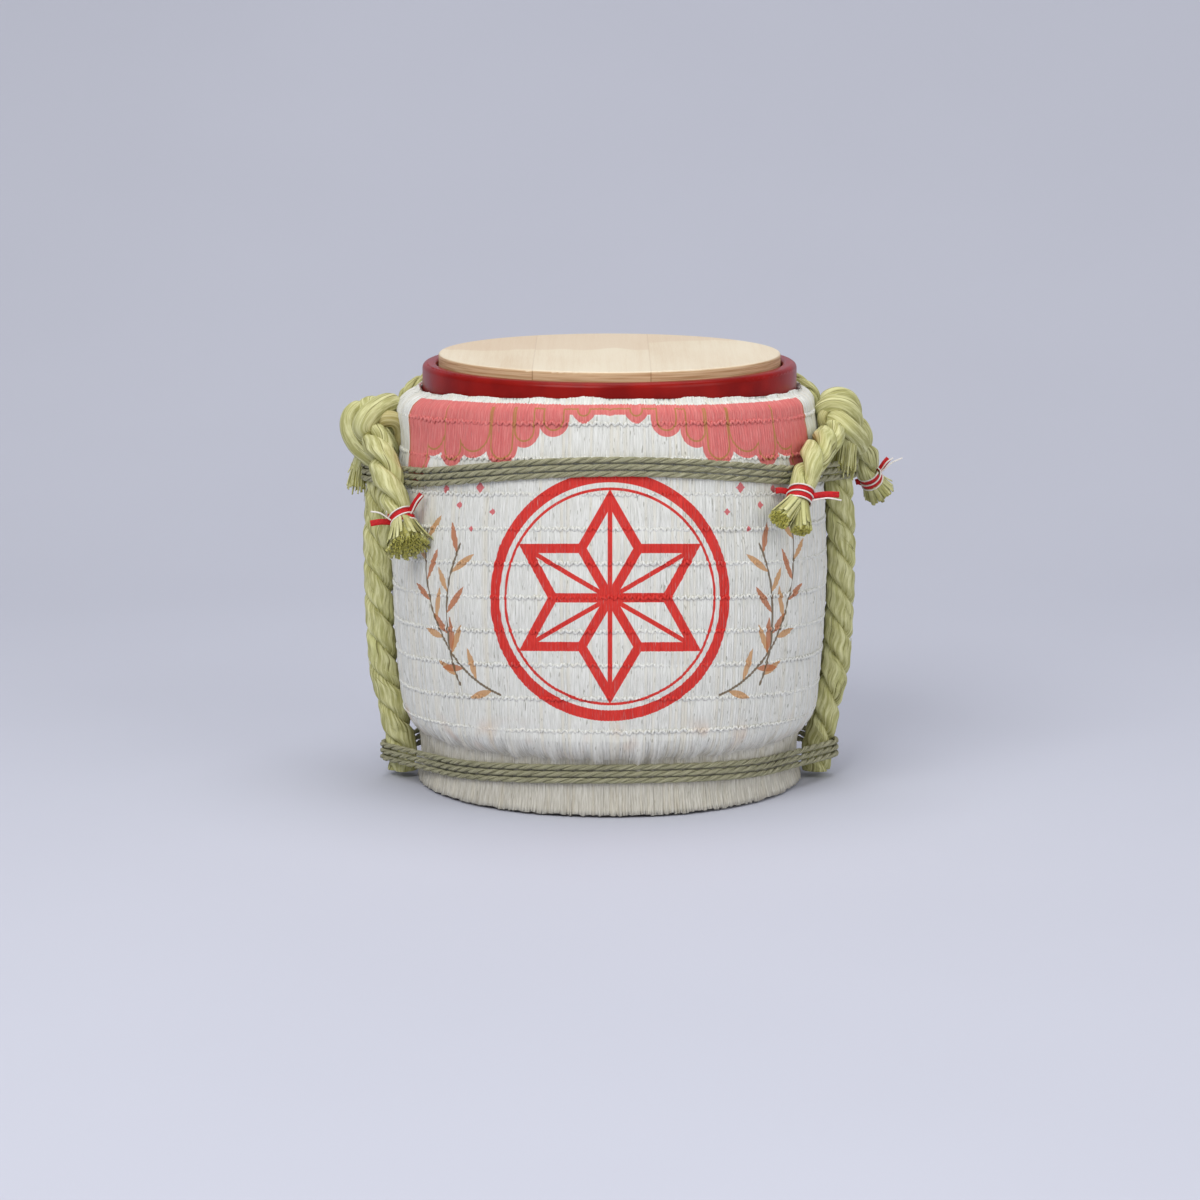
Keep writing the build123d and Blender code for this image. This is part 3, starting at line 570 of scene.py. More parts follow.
def rope_finish(name, light, dark, fresh):
    """Straw rope: long fibres in two tones, fresher lengths, painted shade in thin splits between the fibres,
    and browner or olive straws.
    """
    finish = Finish(name, Roughness=0.7, Specular_IOR_Level=0.3)
    lay = finish.attribute("lay")
    fibres = finish.grain(lay, (3.4, 3.4, 0.09), 4.0, 0.62)
    lengths = finish.grain(lay, (0.5, 0.5, 0.035))
    split_shade = finish.grain(lay, (5.2, 5.2, 0.05), 1.0)
    tone = finish.mix(fibres.rise(0.32, 0.7), dark, light)
    tone = finish.mix(lengths.rise(0.5, 0.75) * 0.5, tone, fresh)
    # Painted shade: thin dark lines where the splits between the fibres fall in shadow
    tone = finish.mix(split_shade.fall(0.3, 0.37) * 0.7, tone, linear(132, 124, 72), "MULTIPLY")
    shade = finish.node("Attribute", {"attribute_name": "tone"}, out="Fac")
    tone = finish.mix(shade.rise(0.0, 1.0) * 0.75, tone, linear(176, 138, 84))
    tone = finish.mix((-shade).rise(0.0, 1.0) * 0.8, tone, linear(182, 176, 70))
    return finish.set(tone, 0.62 + fibres * 0.2, fibres, 0.5 * MM)


def grain_scale(along, across, length):
    """Scale of a grain that is close across an axis and long on it."""
    return [length if axis == along else across for axis in "XYZ"]


def wood_finish(name, light, dark, along, shift=0.0, browner=0.0):
    """Planed softwood: soft growth bands and fine lines that run along one axis."""
    finish = Finish(name, Roughness=0.5, Specular_IOR_Level=0.35)
    place = finish.place()
    bands = finish.grain(place, grain_scale(along, 150, 3), shift=shift)
    lines = finish.grain(place, grain_scale(along, 620, 7), shift=shift)
    fine = finish.grain(place, grain_scale(along, 2600, 60), 2.0, 0.6, shift)
    share = bands * 0.55 + lines * 0.3 + fine * 0.25 + browner
    tone = finish.mix(share.rise(0.3, 0.95), light, dark)
    return finish.set(tone, 0.46 + fine * 0.18, fine, 0.1 * MM)


def lid_finish(name, shift, browner, back_shade, back_shade_edge):
    """Pale planed lid board: faint grain and painted shade towards the back on top, browner layers and the
    joints on the edge.
    """
    finish = Finish(name, Roughness=0.55, Specular_IOR_Level=0.3)
    place = finish.place()
    x, y = finish.parts(place)[:2]
    broad = finish.grain(place, grain_scale("Y", 30, 9), shift=shift)
    lines = finish.grain(place, grain_scale("Y", 420, 7), shift=shift)
    fine = finish.grain(place, grain_scale("Y", 2200, 60), 2.0, 0.6, shift)
    share = broad * 0.55 + lines * 0.3 + fine * 0.2 + browner
    top = finish.mix(share.rise(0.32, 0.95), linear(234, 222, 198), linear(216, 194, 164))
    # Painted shade: the top darkens from a wandering line towards the back of the board
    behind = y / MM + (broad - 0.5) * BACK_SHADE_WANDER
    top = finish.mix(behind.rise(back_shade_edge, back_shade_edge + BACK_SHADE_BLUR) * back_shade, top, linear(214, 188, 160))
    layers = finish.grain(place, grain_scale("Z", 40, 1500), shift=shift)
    edge = finish.mix(layers.rise(0.3, 0.75), linear(220, 190, 150), linear(182, 142, 100))
    upward = finish.parts(finish.node("NewGeometry", out="Normal"))[2].rise(0.35, 0.8)
    tone = finish.mix(upward, edge, top)
    joints = [corner.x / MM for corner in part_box("lid_board_middle")]
    joint = nearest_of([abs(x / MM - place_x) for place_x in joints]).fall(0.15, 0.4)
    tone = finish.mix(joint * (0.55 - upward * 0.43), tone, linear(138, 96, 58))
    return finish.set(tone, 0.5 + fine * 0.15, fine, 0.08 * MM)


def lacquer_finish():
    """Dark red lacquer, glossy, with faint brushing."""
    gloss = {"Specular_IOR_Level": 0.16, "Coat_Weight": 0.06, "Coat_Roughness": 0.2}
    finish = Finish("red_lacquer", Roughness=0.3, **gloss)
    place = finish.place()
    cloud = finish.noise(place, 60.0, 3.0)
    tone = finish.mix(cloud.rise(0.3, 0.7), linear(128, 9, 3), linear(150, 17, 7))
    return finish.set(tone, 0.24 + cloud * 0.14, finish.noise(place, 900.0), 0.03 * MM)


def paper_finish(name, light, dark):
    """Twisted paper in two close tones."""
    finish = Finish(name, Roughness=0.6, Specular_IOR_Level=0.3)
    twist = finish.grain(finish.attribute("lay"), (2.0, 2.0, 0.6), 3.0)
    return finish.set(finish.mix(twist.rise(0.3, 0.7), dark, light), 0.5 + twist * 0.2, twist, 0.15 * MM)


# Mesh building


def sheet_faces(index):
    """Four-sided faces between neighbours in a grid of point numbers."""
    corners = [index[:-1, :-1], index[:-1, 1:], index[1:, 1:], index[1:, :-1]]
    return np.stack(corners, -1).reshape(-1, 4).tolist()


class Heap:
    """Vertices, faces and surface places gathered for one piece."""

    def __init__(self, place_name):
        self.place_name = place_name
        self.verts = []
        self.faces = []
        self.places = []
        self.tones = []
        self.count = 0

    def add(self, verts, faces, places, tone=0.0):
        self.verts.append(verts.reshape(-1, 3))
        self.places.append(places.reshape(-1, 3).copy())
        self.tones.append(np.broadcast_to(tone, verts.shape[:-1]).ravel())
        self.faces += [[v + self.count for v in face] for face in faces]
        self.count += len(self.verts[-1])

    def tube(self, rings, places, tone=0.0):
        """Closed tube from rings of points; places match the points."""
        index = np.arange(rings.shape[0] * rings.shape[1]).reshape(rings.shape[:2])
        faces = sheet_faces(np.concatenate([index, index[:, :1]], axis=1))
        faces += [index[0, ::-1].tolist(), index[-1].tolist()]
        self.add(rings, faces, places, tone)

    def piece(self, name, finish, slot, replaces=()):
        mesh = bpy.data.meshes.new(name)
        mesh.from_pydata(np.concatenate(self.verts).tolist(), [], self.faces)
        values = np.concatenate(self.places).astype(np.float32).ravel()
        mesh.attributes.new(self.place_name, "FLOAT_VECTOR", "POINT").data.foreach_set("vector", values)
        tones = np.concatenate(self.tones).astype(np.float32)
        mesh.attributes.new("tone", "FLOAT", "POINT").data.foreach_set("value", tones)
        mesh.materials.append(finish)
        mesh.shade_smooth()
        made = bpy.data.objects.new(name, mesh)
        bpy.context.scene.collection.objects.link(made)
        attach(made, "cask")
        if replaces:
            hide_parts(*replaces)
        return made


def unit(v):
    return v / np.maximum(np.linalg.norm(v, axis=-1, keepdims=True), 1e-12)


def way_along(points):
    """Way along a line to each of its points."""
    return np.concatenate([[0], np.cumsum(np.linalg.norm(np.diff(points, axis=0), axis=1))])


def even_steps(dense, step):
    reach = way_along(dense)
    wanted = np.linspace(0, reach[-1], max(3, int(round(reach[-1] / step)) + 1))
    return np.stack([np.interp(wanted, reach, dense[:, k]) for k in range(3)], -1)


def smooth_line(points, step):
    """Catmull-Rom curve through points, resampled in even steps."""
    ends = np.concatenate([[2 * points[0] - points[1]], points, [2 * points[-1] - points[-2]]])
    t = np.linspace(0, 1, 24, endpoint=False)[:, None]
    spans = []
    for a, b, c, d in zip(ends, ends[1:], ends[2:], ends[3:]):
        square = 2 * a - 5 * b + 4 * c - d
        cube = 3 * b - a - 3 * c + d
        spans.append(0.5 * (2 * b + (c - a) * t + square * t ** 2 + cube * t ** 3))
    return even_steps(np.concatenate(spans + [points[-1:]]), step)


class Path:
    """A smooth line through points, with steady side directions, in even steps."""

    FIRST_SIDE = (0.3, 0.2, 1.0)

    def __init__(self, points, step):
        self.p = smooth_line(np.asarray(points, float), step)
        self.t = unit(np.gradient(self.p, axis=0))
        self.s = way_along(self.p)
        self.length = self.s[-1]
        self.n = np.zeros_like(self.p)
        side = np.array(self.FIRST_SIDE)
        for i, t in enumerate(self.t):
            side = side - t * side.dot(t)
            side = side / np.linalg.norm(side)
            self.n[i] = side
        self.b = np.cross(self.t, self.n)

    def face(self, outs):
        """Turn the side directions towards the given ones."""
        outs = np.broadcast_to(outs, self.p.shape)
        self.n = unit(outs - self.t * (outs * self.t).sum(-1, keepdims=True))
        self.b = np.cross(self.t, self.n)
        return self

    def turned(self, turn, picks=slice(None)):
        """Side directions turned round the line."""
        return np.cos(turn)[:, None] * self.n[picks] + np.sin(turn)[:, None] * self.b[picks]


def fibre_ridges(count, sides, reach):
    """Uneven ridges of straws along a strand, which change slowly along it."""
    bands = int(reach / RIDGE_SPACING) + 3
    values = chance.uniform(-1, 1, (bands, sides))
    where = np.linspace(0, bands - 1.001, count)
    low = where.astype(int)
    share = (where - low)[:, None]
    return values[low] * (1 - share) + values[low + 1] * share


def strand(heap, path, deep, wide, sides, ridge, seed=0.0, tone=0.0, offset=0.0, turn=0.0, back=0.0):
    """One strand: an oval tube at an offset and turn round a path; sizes may vary along it.

    back is how far its straws turn back against its own turn, as they do in a laid rope.
    """
    count = len(path.p)
    deep, wide, offset, turn = (np.broadcast_to(v, (count,)) for v in (deep, wide, offset, turn))
    out = path.turned(turn)
    around = path.turned(turn + np.pi / 2)
    straw = np.arange(sides) / sides * 2 * np.pi
    angle = straw - back * (turn - turn[0])[:, None]
    rough = 1 + ridge * fibre_ridges(count, sides, path.length)
    across = deep[:, None] * np.cos(angle) * rough
    along = wide[:, None] * np.sin(angle) * rough
    middle = path.p + offset[:, None] * out
    rings = middle[:, None] + across[..., None] * out[:, None] + along[..., None] * around[:, None]
    places = np.broadcast_arrays(np.cos(straw) + seed, np.sin(straw) + seed * 0.7, path.s[:, None] / MM)
    heap.tube(rings, np.stack(places, -1), tone)


def rope(heap, path, radius, pitch, sides, ridge, start=0.0, back=0.0, lay=ROUND_LAY):
    """Two-strand straw rope with an S lay: oval strands that press on each other."""
    offset, deep, wide = (radius * share for share in lay)
    for ply in range(2):
        turn = start + np.pi * ply - 2 * np.pi * path.s / pitch
        strand(heap, path, deep, wide, sides, ridge, ply * 5.0 + 1.7, 0.0, offset, turn, back)


def thin_straw(heap, points, radius, sides=4, tone=0.0, flatness=0.6, inward=(0.31, 0.77, 0.55)):
    """One thin straw along a few points, tapered, and flattened towards a direction."""
    t = unit(np.gradient(points, axis=0))
    side = unit(np.cross(t, inward))
    other = np.cross(t, side)
    angle = np.arange(sides) / sides * 2 * np.pi
    taper = radius * np.linspace(1.0, 0.75, len(points))[:, None]
    rings = (
        points[:, None]
        + (np.cos(angle) * taper)[..., None] * side[:, None]
        + (np.sin(angle) * flatness * taper)[..., None] * other[:, None]
    )
    places = np.zeros(rings.shape)
    places[..., 0] = chance.uniform(-9, 9)
    places[..., 1] = chance.uniform(-9, 9)
    places[..., 2] = np.arange(len(points))[:, None] * 2.0
    heap.tube(rings, places, tone)


# Straw mat


def arc_through(first, middle, last, count):
    """Points along the arc through three (radius, height) points."""
    (ax, ay), (bx, by), (cx, cy) = first, middle, last
    d = 2 * (ax * (by - cy) + bx * (cy - ay) + cx * (ay - by))
    a2, b2, c2 = ax * ax + ay * ay, bx * bx + by * by, cx * cx + cy * cy
    centre = np.array([
        (a2 * (by - cy) + b2 * (cy - ay) + c2 * (ay - by)) / d,
        (a2 * (cx - bx) + b2 * (ax - cx) + c2 * (bx - ax)) / d,
    ])
    radius = math.dist(centre, first)
    angles = np.unwrap([math.atan2(p[1] - centre[1], p[0] - centre[0]) for p in (first, middle, last)])
    sweep = np.linspace(angles[0], angles[2], count)
    return centre + radius * np.stack([np.cos(sweep), np.sin(sweep)], -1)


def mat_outline():
    """Dense outline of the mat's outer face, from the hem up to its turned-in edge."""
    spans = [
        np.linspace(HEM, HEM_TOP, 20),
        np.linspace(HEM_TOP, WAIST_TOP, 30)[1:],
        arc_through(WAIST_TOP, BILGE_TURN, BILGE, 40)[1:],
        arc_through(BILGE, BELLY, SHOULDER, 200)[1:],
        arc_through(SHOULDER, SHOULDER_TURN, LIP, 30)[1:],
        np.linspace(LIP, LIP_EDGE, 8)[1:],
    ]
    return np.concatenate(spans)


OUTLINE = mat_outline()
OUTLINE_REACH = way_along(OUTLINE)
SHOULDER_INDEX = int(np.argmin(np.hypot(*(OUTLINE - SHOULDER).T)))
SHOULDER_REACH = OUTLINE_REACH[SHOULDER_INDEX]


def reach_at_height(z):
    """Way along the outline to a height on the waist or the side."""
    return np.interp(z, OUTLINE[:SHOULDER_INDEX, 1], OUTLINE_REACH[:SHOULDER_INDEX])


def outline_at(reach):
    """Radius and height at a way along the outline."""
    return np.interp(reach, OUTLINE_REACH, OUTLINE[:, 0]), np.interp(reach, OUTLINE_REACH, OUTLINE[:, 1])


def side_radius(z):
    return float(outline_at(reach_at_height(z))[0])


def outward(reach):
    """Outward direction of the outline as (radius, height)."""
    r0, z0 = outline_at(reach - 0.6 * MM)
    r1, z1 = outline_at(reach + 0.6 * MM)
    length = np.maximum(np.hypot(r1 - r0, z1 - z0), 1e-9)
    return (z1 - z0) / length, -(r1 - r0) / length


def shoulder_share(reach):
    """0 on the side, rising to 1 at the shoulder."""
    low = reach_at_height(SHOULDER_FROM)
    return np.clip((reach - low) / (SHOULDER_REACH - low), 0, 1)


def sag(reach, angle):
    """How far the weave hangs below its height at the front, towards the sides."""
    low, high = reach_at_height(SAG_FROM), reach_at_height(SAG_FULL)
    share = np.clip((reach - low) / (high - low), 0, 1)
    return WEAVE_SAG * np.sin(angle) ** 2 * share * (1 - shoulder_share(reach))


def left_swell(z, angle):
    """How far the mat swells out on its left shoulder, where it is drawn over less tightly."""
    near = np.clip(-np.sin(angle), 0, 1) ** 4
    return LEFT_SWELL * near * np.exp(-((z - LEFT_SWELL_HEIGHT) / LEFT_SWELL_SPREAD) ** 2)


def on_mat(angle, reach, out):
    """Points on the mat at an angle from the front, a way up the flat mat and a height above it."""
    lowered = reach - sag(reach, angle)
    r, z = outline_at(lowered)
    dr, dz = outward(lowered)
    r = r + out * dr + left_swell(z, angle)
    z = z + out * dz - SHOULDER_SAG * np.sin(angle) ** 2 * shoulder_share(reach)
    return np.stack([r * np.sin(angle), -r * np.cos(angle), z], -1)


def flat_height(reach):
    """Height on the flat mat in millimetres; on the side it is the height at the front."""
    side = np.interp(reach, OUTLINE_REACH[:SHOULDER_INDEX], OUTLINE[:SHOULDER_INDEX, 1])
    return (side + np.maximum(reach - SHOULDER_REACH, 0)) / MM


def flat_places(angle, reach, straw):
    """Places on the flat mat: millimetres round it and up it, and a number for the straw."""
    return np.stack(np.broadcast_arrays(angle * BELLY[0] / MM, flat_height(reach), straw), -1)


def mat_rows():
    """Ways along the outline for the mesh rows: close at the weave, wider between."""
    rows = list(np.linspace(0, reach_at_height(WAIST_TOP[1]), 10))
    rows += list(np.linspace(reach_at_height(29.5 * MM), reach_at_height(38 * MM), 4))
    for height in WEAVE_ROWS:
        rows += [reach_at_height(height) + step * MM for step in (-4.9, -1.7, 0, 1.7, 4.9)]
    rows += list(np.linspace(rows[-1] + 1.6 * MM, OUTLINE_REACH[-1], 7))
    return np.array(rows)


def weave_pinch(rows):
    """How far the weave draws in each mesh row, from 0 to 1."""
    woven = np.array([reach_at_height(height) for height in WEAVE_ROWS])
    return np.exp(-((rows[:, None] - woven) / PINCH_SPREAD) ** 2).max(axis=1)


def broad_swell(angle, rows):
    """Slow unevenness of a stuffed, hand-wrapped mat."""
    total = np.zeros((len(rows), len(angle)))
    for _ in range(BROAD_SWELLS):
        turns = chance.integers(2, 15)
        rise = chance.uniform(15, 90)
        phase = chance.uniform(0, 2 * np.pi, 2)
        total += np.sin(turns * angle + phase[0]) * np.sin(rows[:, None] / MM / rise * 2 * np.pi + phase[1])
    return total * BROAD_SWELL


def waist_folds(angle, rows):
    """Small folds where the mat is drawn in above the lower binding."""
    high = (outline_at(rows)[1] - FOLD_HEIGHT) / FOLD_SPREAD
    folds = np.zeros(len(angle))
    for turns in FOLD_COUNTS:
        folds += np.sin(turns * angle + chance.uniform(0, 2 * np.pi)) / len(FOLD_COUNTS)
    return FOLD_DEPTH * np.exp(-high ** 2)[:, None] * (folds + 0.25)


def edge_faces(fine, coarse, columns, top):
    """Faces between a fine outer edge and a coarse inner one."""
    faces = []
    for k, (first, last) in enumerate(zip(columns, columns[1:])):
        face = fine[first:last + 1].tolist() + [int(coarse[k + 1]), int(coarse[k])]
        faces.append(face if top else face[::-1])
    return faces


def make_mat(finish):
    """Woven straw mat: upright straws side by side, pinched at each woven row, with a ragged edge."""
    rows = mat_rows()
    columns = len(STRAW_COLUMNS)
    shares, heights = np.array(STRAW_COLUMNS).T
    widths = chance.uniform(*STRAW_WIDTHS, STRAW_COUNT)
    starts = np.concatenate([[0], np.cumsum(widths)[:-1]])
    across = (starts[:, None] + widths[:, None] * shares).ravel()
    half = math.pi - math.radians(SEAM_HALF_ANGLE)
    angle = -half + across / across[-1] * 2 * half
    high = (heights * chance.uniform(*STRAW_HEIGHTS, STRAW_COUNT)[:, None]).ravel()
    high = high + np.repeat(chance.normal(0, STRAW_PROUD, STRAW_COUNT), columns)
    tint = np.repeat(chance.uniform(0, 1, STRAW_COUNT), columns)
    ends = np.repeat(chance.uniform(0, 1, STRAW_COUNT), columns)
    wander = np.repeat(chance.normal(0, STRAW_WANDER, (len(rows), STRAW_COUNT)), columns, axis=1)

    grid_angle = angle + wander
    grid_reach = np.repeat(rows[:, None], len(angle), axis=1)
    waves = np.sin(angle * 9.3) + np.sin(angle * 23.1 + 1)
    grid_reach[-1] -= ends * LIP_RAGGED + waves * LIP_WAVE + LIP_CUT
    grid_reach[0] += ends * HEM_RAGGED
    pinch = weave_pinch(rows)[:, None]
    swell = broad_swell(angle, rows)
    flare = np.clip(1 - rows / reach_at_height(HEM_TOP[1]), 0, 1)[:, None]
    out = high * (1 - 0.55 * pinch + 0.9 * flare) - WEAVE_PINCH * pinch + swell + waist_folds(angle, rows)
    outer = on_mat(grid_angle, grid_reach, out)
    outer_index = np.arange(grid_angle.size).reshape(grid_angle.shape)

    inner_rows = np.concatenate([rows[:18:2], rows[18:-1:6], [rows[-1] - INNER_LIP_DROP]])
    inner_rows[0] = INNER_HEM
    inner_columns = np.append(np.arange(0, len(angle) - 1, columns * 2), len(angle) - 1)
    inner = on_mat(*np.meshgrid(angle[inner_columns], inner_rows), -MAT_THICKNESS)
    inner_index = outer_index.size + np.arange(inner[..., 0].size).reshape(inner.shape[:2])

    faces = sheet_faces(outer_index)
    faces += [face[::-1] for face in sheet_faces(inner_index)]
    faces += edge_faces(outer_index[0], inner_index[0], inner_columns, False)
    faces += edge_faces(outer_index[-1], inner_index[-1], inner_columns, True)
    faces.append(outer_index[:, 0].tolist() + inner_index[::-1, 0].tolist())
    faces.append(inner_index[:, -1].tolist() + outer_index[::-1, -1].tolist())
    outer_places = flat_places(grid_angle, grid_reach, tint).reshape(-1, 3)
    inner_places = np.full((inner_index.size, 3), INSIDE_PLACE)
    heap = Heap("flat")
    heap.add(
        np.concatenate([outer.reshape(-1, 3), inner.reshape(-1, 3)]),
        faces,
        np.concatenate([outer_places, inner_places]),
    )
    return heap.piece("straw_mat_wrap", finish, "straw_mat", ["straw_mat"])


def make_twining(finish):
    """Rows of small slanting stitches that hold the straws."""
    heap = Heap("flat")
    angle = np.arange(STITCH_SIDES) / STITCH_SIDES * 2 * np.pi
    ring_along, ring_wide = (column[:, None] for column in np.array(STITCH_RINGS).T)
    half = math.pi - math.radians(SEAM_HALF_ANGLE) * 2
    for row in WEAVE_ROWS:
        base = reach_at_height(row)
        radius = outline_at(base)[0]
        count = int(2 * half * radius / STITCH_PITCH)
        for k in range(count):
            along = ring_along * (chance.uniform(1.35, 1.75) * MM)
            section = ring_wide * (chance.uniform(0.6, 0.85) * MM)
            slant = math.radians(chance.normal(36, 7)) * (1 if k % 2 else -1)
            shift = chance.normal(0, 0.22) * MM
            across = section * np.cos(angle)
            out = section * np.sin(angle) * 0.6 + 0.05 * MM - 0.2 * np.abs(along)
            turn = (along * math.sin(slant) + across * math.cos(slant)) / radius
            up = along * math.cos(slant) - across * math.sin(slant)
            spot_angle = -half + 2 * half * (k + 0.5) / count + turn
            spot_reach = base + shift + up
            places = flat_places(spot_angle, spot_reach, chance.uniform(0, 0.8))
            heap.tube(on_mat(spot_angle, spot_reach, out), places)
        for step in (-SEAM_LACE_STEP, 0, SEAM_LACE_STEP):
            seam_lace(heap, base + step, chance.uniform(-1, 1))
    return heap.piece("mat_twining", finish, "straw_mat")


def seam_lace(heap, reach, lean):
    """A short cord that draws the two edges of the mat together at the back."""
    way = np.linspace(-1, 1, 9)
    angle = math.pi + way * SEAM_LACE_REACH / BELLY[0]
    out = 0.5 * MM - 1.3 * MM * way ** 4
    path = Path(on_mat(angle, reach + way * lean * MM, out), 0.5 * MM)
    strand(heap, path, SEAM_LACE_RADIUS, SEAM_LACE_RADIUS, 6, 0.0)
    past_print, tint = SEAM_LACE_TINT
    heap.places[-1][:] = (past_print, flat_height(reach), tint)


# Ropes


def side_rope_path(side, top):
    """Middle line of a side rope: down the bowed side, in under the bilge, down the waist."""
    bow = [z * MM for z in SIDE_ROPE_BOW]
    heights = [top, 0.75 * top, 0.5 * (top + bow[-1])] + bow
    points = [(side_radius(z) + SIDE_ROPE_RADIUS + SIDE_ROPE_GAP, z) for z in heights]
    points += [(r * MM, z * MM) for r, z in SIDE_ROPE_FOOT]
    return Path([(side * r, 0, z) for r, z in points], 0.8 * MM)


def make_side_rope(name, side, finish):
    path = side_rope_path(side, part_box(name)[1].z + ROPE_INTO_KNOT)
    heap = Heap("lay")
    start = SIDE_ROPE_STARTS[side]
    rope(heap, path, SIDE_ROPE_RADIUS, SIDE_ROPE_PITCH, 36, 0.035, start, STRAW_BACK_TURN, PRESSED_LAY)
    loose_straws(heap, path)
    return heap.piece(name + "_twisted", finish, "thick_rope", [name])


def loose_straws(heap, path):
    """Thin straw ends that lift a little off a side rope."""
    for _ in range(LOOSE_STRAWS):
        first = int(chance.integers(2, len(path.p) - 4))
        steps = max(3, int(LOOSE_STRAW_LENGTH / path.s[1] * chance.uniform(0.5, 1.2)))
        picks = np.linspace(first, min(len(path.p) - 1, first + steps), 6).astype(int)
        turn = chance.uniform(0, 2 * np.pi) - np.linspace(0, 1.3, 6)
        lift = SIDE_ROPE_RADIUS * (1.0 + np.linspace(-0.03, chance.uniform(0.03, 0.14), 6))
        points = path.p[picks] + path.turned(turn, picks) * lift[:, None]
        thin_straw(heap, points, chance.uniform(0.14, 0.26) * MM)


def taut_turn(mat_radius, rope_x, over_rope, step):
    """One turn of a tight cord round the mat and both side ropes, as (x, y) from the back."""
    lean = math.acos((mat_radius - over_rope) / rope_x)
    arcs = [
        (0.0, mat_radius, math.pi / 2, math.pi - lean),
        (-rope_x, over_rope, math.pi - lean, math.pi + lean),
        (0.0, mat_radius, math.pi + lean, 2 * math.pi - lean),
        (rope_x, over_rope, 2 * math.pi - lean, 2 * math.pi + lean),
        (0.0, mat_radius, 2 * math.pi + lean, 2.5 * math.pi),
    ]
    points = []
    for centre, radius, first, last in arcs:
        sweep = np.linspace(first, last, max(4, int(radius * (last - first) / step)))
        points.append(np.stack([centre + radius * np.cos(sweep), radius * np.sin(sweep)], -1))
    return np.concatenate(points)


def binding_points(front, dip, mat_at, rope_x):
    """Points of all turns of a binding, flush with the mat, with both ends tucked in at the back."""
    base = mat_at(front)
    turn = taut_turn(base + BINDING_RADIUS, rope_x, BINDING_OVER_ROPE, 0.5 * MM)
    about = np.unwrap(np.arctan2(turn[:, 1], turn[:, 0]))
    share = (about - about[0]) / (2 * np.pi)
    near = np.clip(1 - (np.hypot(turn[:, 0], turn[:, 1]) - base - BINDING_RADIUS) / (2 * MM), 0, 1)
    points = []
    for k in range(BINDING_TURNS):
        z = front + BINDING_STEP * (k + share - BINDING_TURNS / 2) - dip * np.cos(about) ** 2
        flush = np.array([mat_at(v) for v in z]) - base
        to_end = np.minimum(k + share, BINDING_TURNS - k - share) * 2 * np.pi * base
        tucked = TUCK_DEPTH * np.clip(1 - to_end / TUCK_LENGTH, 0, 1) ** 2
        grow = 1 + (flush * near - tucked) / base
        points.append(np.stack([turn[:, 0] * grow, turn[:, 1] * grow, z], -1))
    return np.concatenate(points)


def make_binding(name, front, dip, mat_at, rope_x, finish):
    dense = binding_points(front, dip, mat_at, rope_x)
    keep = np.concatenate([[True], np.linalg.norm(np.diff(dense, axis=0), axis=1) > 1e-6])
    path = Path(even_steps(dense[keep], 4 * MM), 0.6 * MM)
    heap = Heap("lay")
    rope(heap, path, BINDING_RADIUS, BINDING_PITCH, 9, 0.06)
    return heap.piece(name + "_twisted", finish, "thin_rope", [name])


def make_shoulder_rope(finish):
    """Thinner rope from knot to knot, over the mat's shoulder and round behind the rim."""
    out = SHOULDER_ROPE_RADIUS + SHOULDER_ROPE_GAP
    round_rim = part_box("mouth_rim")[1].x + SHOULDER_ROPE_RIM_GAP + out
    half = [on_mat(math.radians(turn), SHOULDER_REACH + step * MM, out) for turn, step in SHOULDER_ROPE_CLIMB]
    for turn in np.radians(SHOULDER_ROPE_BACK):
        height = LIP[1] - SHOULDER_SAG * math.sin(turn) ** 2 + out
        half.append(np.array([round_rim * math.sin(turn), -round_rim * math.cos(turn), height]))
    other_half = [p * np.array([-1, 1, 1]) for p in reversed(half[:-1])]
    heap = Heap("lay")
    path = Path(half + other_half, 0.7 * MM)
    rope(heap, path, SHOULDER_ROPE_RADIUS, SHOULDER_ROPE_PITCH, 18, 0.06, back=STRAW_BACK_TURN)
    return heap.piece("shoulder_rope_twisted", finish, "thick_rope", ["shoulder_rope"])


# Knots, tails and ties


def bundle(heap, points, half_width, half_depth, middle, brown=0.0, seed=0.0):
    """One thick strand of straw along points, flat side away from the middle, with rounded ends."""
    path = Path(np.array(points) * MM, 0.7 * MM)
    path.face(path.p - np.array(middle) * MM)
    to_end = np.minimum(path.s, path.length - path.s) / (half_width * MM)
    rounded = np.sqrt(np.maximum(1 - (1 - np.minimum(to_end, 1)) ** 2, 0.02))
    strand(heap, path, half_depth * MM * rounded, half_width * MM * rounded, 40, 0.03, seed, brown)


def make_knot(side, finish):
    middle, strands = KNOTS[side]
    heap = Heap("lay")
    for number, (half_width, half_depth, brown, points) in enumerate(strands.values()):
        bundle(heap, points, half_width, half_depth, middle, brown, 3.1 * number)
    return heap.piece(f"knot_{side}_strands", finish, "thick_rope", [f"knot_{side}"])


